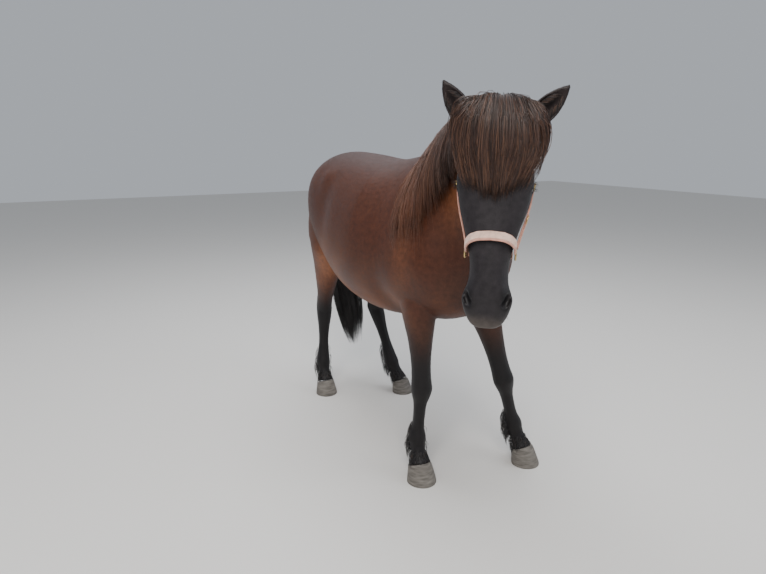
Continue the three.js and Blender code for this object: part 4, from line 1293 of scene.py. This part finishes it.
    def whiskers(self, rng):
        """Whiskers under the lips, and lashes over the eyes."""
        k, count = 5, 190
        u = np.linspace(0, 1, k)
        down, around = rng.uniform(545, 606, count), rng.uniform(-150, -30, count)
        start = HEAD.surface(down, around, -1.0)
        away = unit(start - HEAD.place(down)[0]) + DOWN * 0.35 + rng.normal(0, 0.22, (count, 3))
        length = rng.uniform(9, 34, count)
        paths = start[:, None] + unit(away)[:, None] * (length[:, None] * u)[..., None]
        paths[..., 2] -= (length[:, None] * 0.16) * u**2
        tone = np.array([0.10, 0.085, 0.075]) * rng.uniform(0.3, 1.2, (count, 1))
        colours = np.repeat(tone[:, None], k, axis=1)
        material = strand_material("whisker hair", 0.0, 0.5)
        facing = np.tile(LEFT, (count, 1))
        piece = strand_piece("whiskers", paths, facing, rng.uniform(0.5, 0.8, count), colours, material)
        finish_piece(piece)
        count = 60
        lashes = []
        for _, sign in SIDES:
            centre, along, across, outward = eye_frame(sign)
            top = across if across @ OUT > 0 else -across
            slide = rng.uniform(-15, 15, count)[:, None]
            start = centre + along * slide + top * (10.5 - 0.02 * slide**2) + outward * 21.5
            aim = unit(outward + top * 0.35 + DOWN * 0.25 + rng.normal(0, 0.08, (count, 3)))
            reach = rng.uniform(12, 20, count)[:, None]
            lash = start[:, None] + aim[:, None] * (reach * u)[..., None]
            lashes.append(lash - top * (reach * 0.4 * u**2)[..., None])
        paths = np.concatenate(lashes)
        colours = np.full((len(paths), k, 3), 0.006)
        facing = np.tile(DOWN, (len(paths), 1))
        piece = strand_piece("lashes", paths, facing, np.full(len(paths), 0.6), colours, material)
        finish_piece(piece)


# Eyes and hooves


class HORSE_OT_eyes(bpy.types.Operator):
    """Eyes: dark wet balls, each with a rounder front that stands out between the lids."""

    bl_idname = "horse.eyes"
    bl_label = "Eyes"

    def execute(self, context):
        material, tree, shader = new_material("wet eye")
        noise = add_noise(tree, 160.0).outputs["Fac"]
        colour = add_tones(tree, noise, (0.004, 0.0025, 0.002), (0.022, 0.010, 0.006))
        tree.links.new(colour, shader.inputs["Base Color"])
        shader.inputs["Roughness"].default_value = 0.06
        shader.inputs["Coat Weight"].default_value = 0.7
        shader.inputs["Coat Roughness"].default_value = 0.03
        for name, sign in SIDES:
            bm = bmesh.new()
            centre, along, across, outward = eye_frame(sign)
            add_egg(bm, centre, (along, across, outward), (EYE_RADIUS,) * 3, 4)
            add_egg(bm, centre + outward * 6.5, (along, across, outward), (15, 13, 15.4), 4)
            eye = object_from(f"eye_{name}_ball", bm, material)
            finish_piece(eye)
            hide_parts(f"eye_{name}")
        return {"FINISHED"}


class HORSE_OT_hooves(bpy.types.Operator):
    """Hooves: dusty horn with growth rings and a coronet."""

    bl_idname = "horse.hooves"
    bl_label = "Hooves"

    def execute(self, context):
        material, tree, shader = new_material("hoof horn")
        noise = add_noise(tree, 22.0, 6.0, (1.0, 1.0, 6.0)).outputs["Fac"]
        colour = add_tones(tree, noise, (0.078, 0.069, 0.060), (0.205, 0.187, 0.165), 0.3, 0.72)
        tree.links.new(colour, shader.inputs["Base Color"])
        shader.inputs["Roughness"].default_value = 0.75
        add_bump(tree, shader, noise, 0.0012, 0.35)
        for name, _, joints, heading, size in LEGS:
            turn = math.radians(heading)
            ahead = np.array([math.cos(turn), math.sin(turn), 0])
            side = np.array([-math.sin(turn), math.cos(turn), 0])
            ground = np.array([joints[4][0], joints[4][1], 0.0]) + ahead * 17
            t = np.linspace(0, 1, 26)
            up, tip, shift, fore, back, half = HOOF_ROWS(t).T
            ripple = 1 + 0.006 * np.sin(t * 44) * (t > 0.1)
            angle = round_angles(56)
            centre = ground + ahead * (shift * size)[:, None] + np.array([0, 0, 1.0]) * (up * size)[:, None]
            tilt = unit(ahead + np.array([0, 0, 1.0]) * tip[:, None])
            depth = np.where(np.sin(angle) > 0, fore[:, None], back[:, None])
            reach = depth * np.sin(angle) * size * ripple[:, None]
            across = half[:, None] * np.cos(angle) * size * ripple[:, None]
            cleft = 1 - 0.22 * np.exp(-(((angle - 1.5 * np.pi) / 0.28) ** 2))
            rings = centre[:, None] + side * across[..., None] + tilt[:, None] * (reach * cleft)[..., None]
            rings[..., 2] = np.maximum(rings[..., 2], 0)
            hoof = tube_object(f"hoof_{name}_horn", to_frame(rings), material)
            finish_piece(hoof)
            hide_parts(f"hoof_{name}")
        return {"FINISHED"}


# Halter

# piece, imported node, middle as down and out, the way up as down and out, angles, width, thickness, steps
HEAD_STRAPS = (
    ("noseband_pad", "halter_noseband", (394, -64), (-42, 64), (2, 178), None, 0.0056, 72),
    ("chin_webbing", "halter_chin_strap", (394, -64), (-10, 96), (-2, -178), 0.020, 0.0036, 72),
    ("crown_webbing", "halter_crownpiece", (186, -93), (-220, -20), (-8, 188), 0.024, 0.0034, 96),
    ("throat_webbing", "halter_throat_strap", (190, -100), (-44, 132), (4, -184), 0.020, 0.0034, 96),
)
# Places on the head: down the face, to the side, out.
CHEEK_TOP = (200, 108, -93)
CHEEK_END = (366, 72, -68)
RING_MIDDLE = (394, 72, -64)
CHEEK_THICK = 0.0052
CHEEK_PAST_NODE = 0.013
# radius, wire's half thickness, stretch
RING_SIZES = (0.0155, 0.0030, 1.0)
LINK_SIZES = (0.0105, 0.0022, 1.25)
BUCKLE_SIZES = (0.0115, 0.0021, 1.15)
# In metres: how deep a cheekpiece's middle lies under its face, and how far its fittings stand off it.
CHEEK_SINK = 0.0019
BUCKLE_LIFT, TONGUE_LIFT, LINK_LIFT = 0.0036, 0.0046, 0.0035
TONGUE_THICK = 0.0030
# The paler webbing on the noseband's pad: its lift and thickness in metres, its share of the width.
OVER_LIFT, OVER_THICK, OVER_SHARE = 0.0034, 0.0026, 0.72
OVER_TINT = (1.12, 1.5, 1.6)
# Rays that look for a strap start this far off, in millimetres.
RAY_FROM = 420
RAY_ASIDE = 250
# Steps round a wire ring and round its wire.
RING_STEPS = 48
WIRE_SIDES = 14
RING_START = (0.3, 0.5, 0.8)


def webbing_material(tone):
    """Woven webbing: ribs along the strap's own map, soft uneven soiling."""
    material, tree, shader = new_material("salmon webbing")
    place = tree.nodes.new("ShaderNodeUVMap")
    place.uv_map = "weave"
    waves = []
    for direction, scale in (("X", 260.0), ("Y", 200.0)):
        wave = add_node(tree, "TexWave", Scale=scale, Distortion=0.6)
        wave.bands_direction = direction
        tree.links.new(place.outputs["UV"], wave.inputs["Vector"])
        waves.append(wave.outputs["Fac"])
    weave = add_product(tree, "MULTIPLY", *waves).outputs[0]
    soiled = add_product(tree, "MULTIPLY_ADD", weave, 0.6)
    tree.links.new(add_noise(tree, 70.0).outputs["Fac"], soiled.inputs[2])
    dark, light = [c * 0.62 for c in tone], [min(c * 1.12, 1) for c in tone]
    colour = add_tones(tree, soiled.outputs[0], dark, light, 0.25, 0.7)
    tree.links.new(colour, shader.inputs["Base Color"])
    shader.inputs["Roughness"].default_value = 0.85
    shader.inputs["Sheen Weight"].default_value = 0.3
    add_bump(tree, shader, weave, 0.0009, 0.8)
    return material


def brass_material(tone):
    """Brass with worn, uneven gloss."""
    material, tree, shader = new_material("worn brass")
    gloss = add_range(tree, add_noise(tree, 120.0).outputs["Fac"], 0.22, 0.5)
    tree.links.new(gloss, shader.inputs["Roughness"])
    shader.inputs["Base Color"].default_value = (*tone, 1)
    shader.inputs["Metallic"].default_value = 1.0
    return material


def strap_piece(name, path, outward, width, thick, material, edge=2.6):
    """A strap of rounded section along a path, in frame metres, with a weave map."""
    path, outward = np.asarray(path), unit(np.asarray(outward))
    along = unit(np.gradient(path, axis=0))
    across = unit(np.cross(outward, along))
    off = unit(np.cross(along, across))
    angle = round_angles(20) + np.pi / 20
    c, s = np.cos(angle), np.sin(angle)
    power = 2 / (edge * 2)
    x = np.sign(c) * np.abs(c) ** power * width / 2
    y = np.sign(s) * np.abs(s) ** power * thick / 2
    rings = path[:, None] + across[:, None] * x[None, :, None] + off[:, None] * y[None, :, None]
    strap = tube_object(name, rings, material)
    mesh = strap.data
    far = np.concatenate([[0], np.cumsum(np.linalg.norm(np.diff(path, axis=0), axis=1))])
    layer = mesh.uv_layers.new(name="weave")
    spots = vertex_places(mesh)
    nearest = np.argmin(((spots[:, None] - path[None]) ** 2).sum(-1), axis=1)
    v = ((spots - path[nearest]) * across[nearest]).sum(-1)
    loops = np.empty(len(mesh.loops), int)
    mesh.loops.foreach_get("vertex_index", loops)
    layer.data.foreach_set("uv", np.stack([far[nearest][loops], v[loops]], -1).ravel())
    return strap


def wire_ring(name, centre, normal, along, sizes, material):
    """A closed wire ring, or a long link when it is stretched along a direction."""
    radius, wire, stretch = sizes
    first = unit(along)
    second = np.cross(normal, first)
    bm = bmesh.new()
    made = bmesh.ops.create_grid(bm, x_segments=RING_STEPS, y_segments=WIRE_SIDES, size=1.0)["verts"]
    for vert in made:
        turn = math.pi * (vert.co.x + 1)
        tube = math.pi * (vert.co.y + 1)
        out = first * math.cos(turn) * stretch + second * math.sin(turn)
        spot = out * radius + unit(out) * (wire * math.cos(tube)) + normal * (wire * math.sin(tube))
        vert.co = np.asarray(centre) + spot
    bmesh.ops.remove_doubles(bm, verts=bm.verts[:], dist=1e-6)
    return object_from(name, bm, material)


def node_tree(node):
    """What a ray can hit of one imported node."""
    mesh = bpy.data.objects[node].data
    return BVHTree.FromPolygons([v.co for v in mesh.vertices], [p.vertices for p in mesh.polygons])


def evened(path, count):
    """A path with its points smoothed and evenly spaced."""
    for _ in range(6):
        path[1:-1] = (path[:-2] + 2 * path[1:-1] + path[2:]) / 4
    far = np.concatenate([[0], np.cumsum(np.linalg.norm(np.diff(path, axis=0), axis=1))])
    even = np.linspace(0, far[-1], count)
    return np.stack([np.interp(even, far, path[:, i]) for i in range(3)], -1)


def along_node(node, centre, first, second, angles, thick):
    """The middle of a packed strap that goes round the head in one plane, seen from outside."""
    tree = node_tree(node)
    centre = np.asarray(centre, float)
    far, seen = [], []
    for a in angles:
        out = first * math.cos(a) + second * math.sin(a)
        start = Vector(to_frame(centre + out * RAY_FROM))
        hit = tree.ray_cast(start, Vector(turned(-out)), RAY_FROM * MM)
        if hit[0] is not None and RAY_FROM - hit[3] / MM > 40:
            far.append(RAY_FROM - hit[3] / MM)
            seen.append(a)
    if len(seen) < 6:
        raise RuntimeError(f"{node} was not found round the head")
    between = np.linspace(seen[0], seen[-1], len(angles))
    order = 1 if seen[-1] > seen[0] else -1
    far = np.interp(between * order, np.array(seen) * order, far) - thick / MM / 2
    out = np.array([first * math.cos(a) + second * math.sin(a) for a in between])
    path = evened(to_frame(centre + out * far[:, None]), len(angles))
    away = unit(path - to_frame(centre))
    return path, away


class HORSE_OT_halter(bpy.types.Operator):
    """Halter: padded noseband, chin, cheek, crown and throat straps, with brass rings, links and a buckle."""

    bl_idname = "horse.halter"
    bl_label = "Halter"

    def execute(self, context):
        settings = context.scene.horse_halter
        webbing = webbing_material(settings.webbing)
        pale = webbing_material([min(1.0, tone * k) for tone, k in zip(settings.webbing, OVER_TINT)])
        brass = brass_material(settings.brass)
        for name, node, middle, up, turn, width, thick, count in HEAD_STRAPS:
            width = width or settings.nose_width
            centre = on_head(middle[0], 0, middle[1])
            angles = np.radians(np.linspace(*turn, count))
            path, out = along_node(node, centre, LEFT, unit(DOWN * up[0] + OUT * up[1]), angles, thick)
            strap = strap_piece(name, path, out, width, thick, webbing)
            finish_piece(strap)
            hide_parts(node)
            if node == "halter_noseband":
                width, path = width * OVER_SHARE, path + out * OVER_LIFT
                over = strap_piece("noseband_webbing", path, out, width, OVER_THICK, pale)
                finish_piece(over)
        for name, sign in SIDES:
            node = f"halter_cheekpiece_{name}"
            inward = turned(-LEFT * sign)
            start, end, ring_middle = (
                on_head(down, sign * aside, out) for down, aside, out in (CHEEK_TOP, CHEEK_END, RING_MIDDLE)
            )
            along = turned(unit(end - start))
            across = np.cross(-inward, RING_START)
            line = to_frame(start + (end - start) * np.linspace(0, 1, 40)[:, None])
            tree = node_tree(node)
            aside = inward * (RAY_ASIDE * MM)
            hits = [tree.ray_cast(Vector(p - aside), Vector(inward), 2 * RAY_ASIDE * MM)[0] for p in line]
            path = np.array([np.array(hit) + inward * CHEEK_SINK for hit in hits if hit is not None])
            path = np.concatenate([path, path[-1:] + unit(path[-1] - path[-6]) * CHEEK_PAST_NODE])
            path = evened(path, 30)
            out = np.tile(-inward, (len(path), 1))
            width = settings.strap_width
            strap = strap_piece(f"cheek_webbing_{name}", path, out, width, CHEEK_THICK, webbing)
            finish_piece(strap)
            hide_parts(node)
            centre = to_frame(ring_middle)
            ring = wire_ring(f"brass_ring_{name}", centre, -inward, across, RING_SIZES, brass)
            finish_piece(ring)
            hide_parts(f"halter_ring_{name}")
            if name == "left":
                half_way = len(path) // 2
                place = path[half_way] - inward * BUCKLE_LIFT
                buckle = wire_ring("brass_buckle", place, -inward, along, BUCKLE_SIZES, brass)
                finish_piece(buckle)
                tail, tail_out = path[half_way - 2:] - inward * TONGUE_LIFT, out[half_way - 2:]
                tongue = strap_piece("cheek_tongue", tail, tail_out, width * 0.95, TONGUE_THICK, webbing)
                finish_piece(tongue)
            place = path[0] - inward * LINK_LIFT
            link = wire_ring(f"brass_link_{name}", place, -inward, along, LINK_SIZES, brass)
            finish_piece(link)
        return {"FINISHED"}


# Stage

# name, place, size, power, colour
LIGHTS = (
    ("key", (-2.2, -3.2, 4.4), 2.6, 240, (1.0, 0.96, 0.91)),
    ("fill", (3.4, -3.0, 3.2), 3.5, 62, (0.93, 0.96, 1.0)),
    ("top", (0.0, 1.2, 4.6), 3.2, 150, (0.92, 0.95, 1.0)),
)
LIT_POINT = Vector((0, 0, 0.8))
# The camera's place in the horse's millimetres, its heading and how far it looks down.
CAMERA = (2381, -1302, 1404)
CAMERA_HEADING = (0.888, 0.461)
CAMERA_DOWN = 14.04
CAMERA_SENSOR, CAMERA_LENS = 36.0, 27.465
FLOOR_SIZE = 14
SKY, SKY_STRENGTH = (0.80, 0.85, 0.92, 1), 0.54


class HORSE_OT_stage(bpy.types.Operator):
    """Camera at the photograph's angle, soft studio light and a pale floor."""

    bl_idname = "horse.stage"
    bl_label = "Stage"

    def execute(self, context):
        scene = context.scene
        camera = bpy.data.objects.new("camera", bpy.data.cameras.new("camera"))
        scene.collection.objects.link(camera)
        camera.data.sensor_width = CAMERA_SENSOR
        camera.data.lens = CAMERA_LENS
        camera.location = to_frame(CAMERA)
        heading = math.atan2(CAMERA_HEADING[1], CAMERA_HEADING[0])
        camera.rotation_euler = (math.radians(90 - CAMERA_DOWN), 0, -heading)
        scene.camera = camera
        bm = bmesh.new()
        bmesh.ops.create_grid(bm, x_segments=2, y_segments=2, size=FLOOR_SIZE)
        material, _, shader = new_material("pale floor")
        shader.inputs["Base Color"].default_value = (0.70, 0.68, 0.65, 1)
        shader.inputs["Roughness"].default_value = 0.9
        floor = object_from("floor", bm, material)
        world = bpy.data.worlds.new("studio")
        scene.world = world
        world.use_nodes = True
        back = world.node_tree.nodes["Background"]
        back.inputs["Color"].default_value = SKY
        back.inputs["Strength"].default_value = SKY_STRENGTH
        for name, place, size, power, colour in LIGHTS:
            light = bpy.data.objects.new(name, bpy.data.lights.new(name, "AREA"))
            light.data.size = size
            light.data.energy = power
            light.data.color = colour
            light.location = place
            light.rotation_euler = (LIT_POINT - Vector(place)).to_track_quat("-Z", "Y").to_euler()
            scene.collection.objects.link(light)
        return {"FINISHED"}


class HORSE_PT_panel(bpy.types.Panel):
    """The horse's pieces."""

    bl_idname = "HORSE_PT_panel"
    bl_label = "Icelandic horse"
    bl_space_type = "VIEW_3D"
    bl_region_type = "UI"
    bl_category = "Horse"

    def draw(self, context):
        for settings in (context.scene.horse_skin, context.scene.horse_hair, context.scene.horse_halter):
            box = self.layout.box()
            for name in settings.__annotations__:
                box.prop(settings, name)
        for operator in OPERATORS:
            self.layout.operator(operator.bl_idname)


GROUPS = (HairSettings, SkinSettings, HalterSettings)
OPERATORS = (
    HORSE_OT_stage,
    HORSE_OT_skin,
    HORSE_OT_eyes,
    HORSE_OT_hooves,
    HORSE_OT_halter,
    HORSE_OT_mane,
    HORSE_OT_forelock,
    HORSE_OT_tail,
    HORSE_OT_feathers,
    HORSE_OT_coat,
)
STORES = (("horse_hair", HairSettings), ("horse_skin", SkinSettings), ("horse_halter", HalterSettings))


def register():
    for cls in (*GROUPS, *OPERATORS, HORSE_PT_panel):
        bpy.utils.register_class(cls)
    for name, cls in STORES:
        setattr(bpy.types.Scene, name, bpy.props.PointerProperty(type=cls))


def unregister():
    for name, _ in STORES:
        delattr(bpy.types.Scene, name)
    for cls in reversed((*GROUPS, *OPERATORS, HORSE_PT_panel)):
        bpy.utils.unregister_class(cls)


def main():
    register()
    bpy.ops.horse.stage()
    bpy.ops.horse.skin()
    bpy.ops.horse.eyes()
    bpy.ops.horse.hooves()
    bpy.ops.horse.halter()
    bpy.ops.horse.mane()
    bpy.ops.horse.forelock()
    bpy.ops.horse.tail()
    bpy.ops.horse.feathers()
    bpy.ops.horse.coat()


if __name__ == "__main__":
    main()
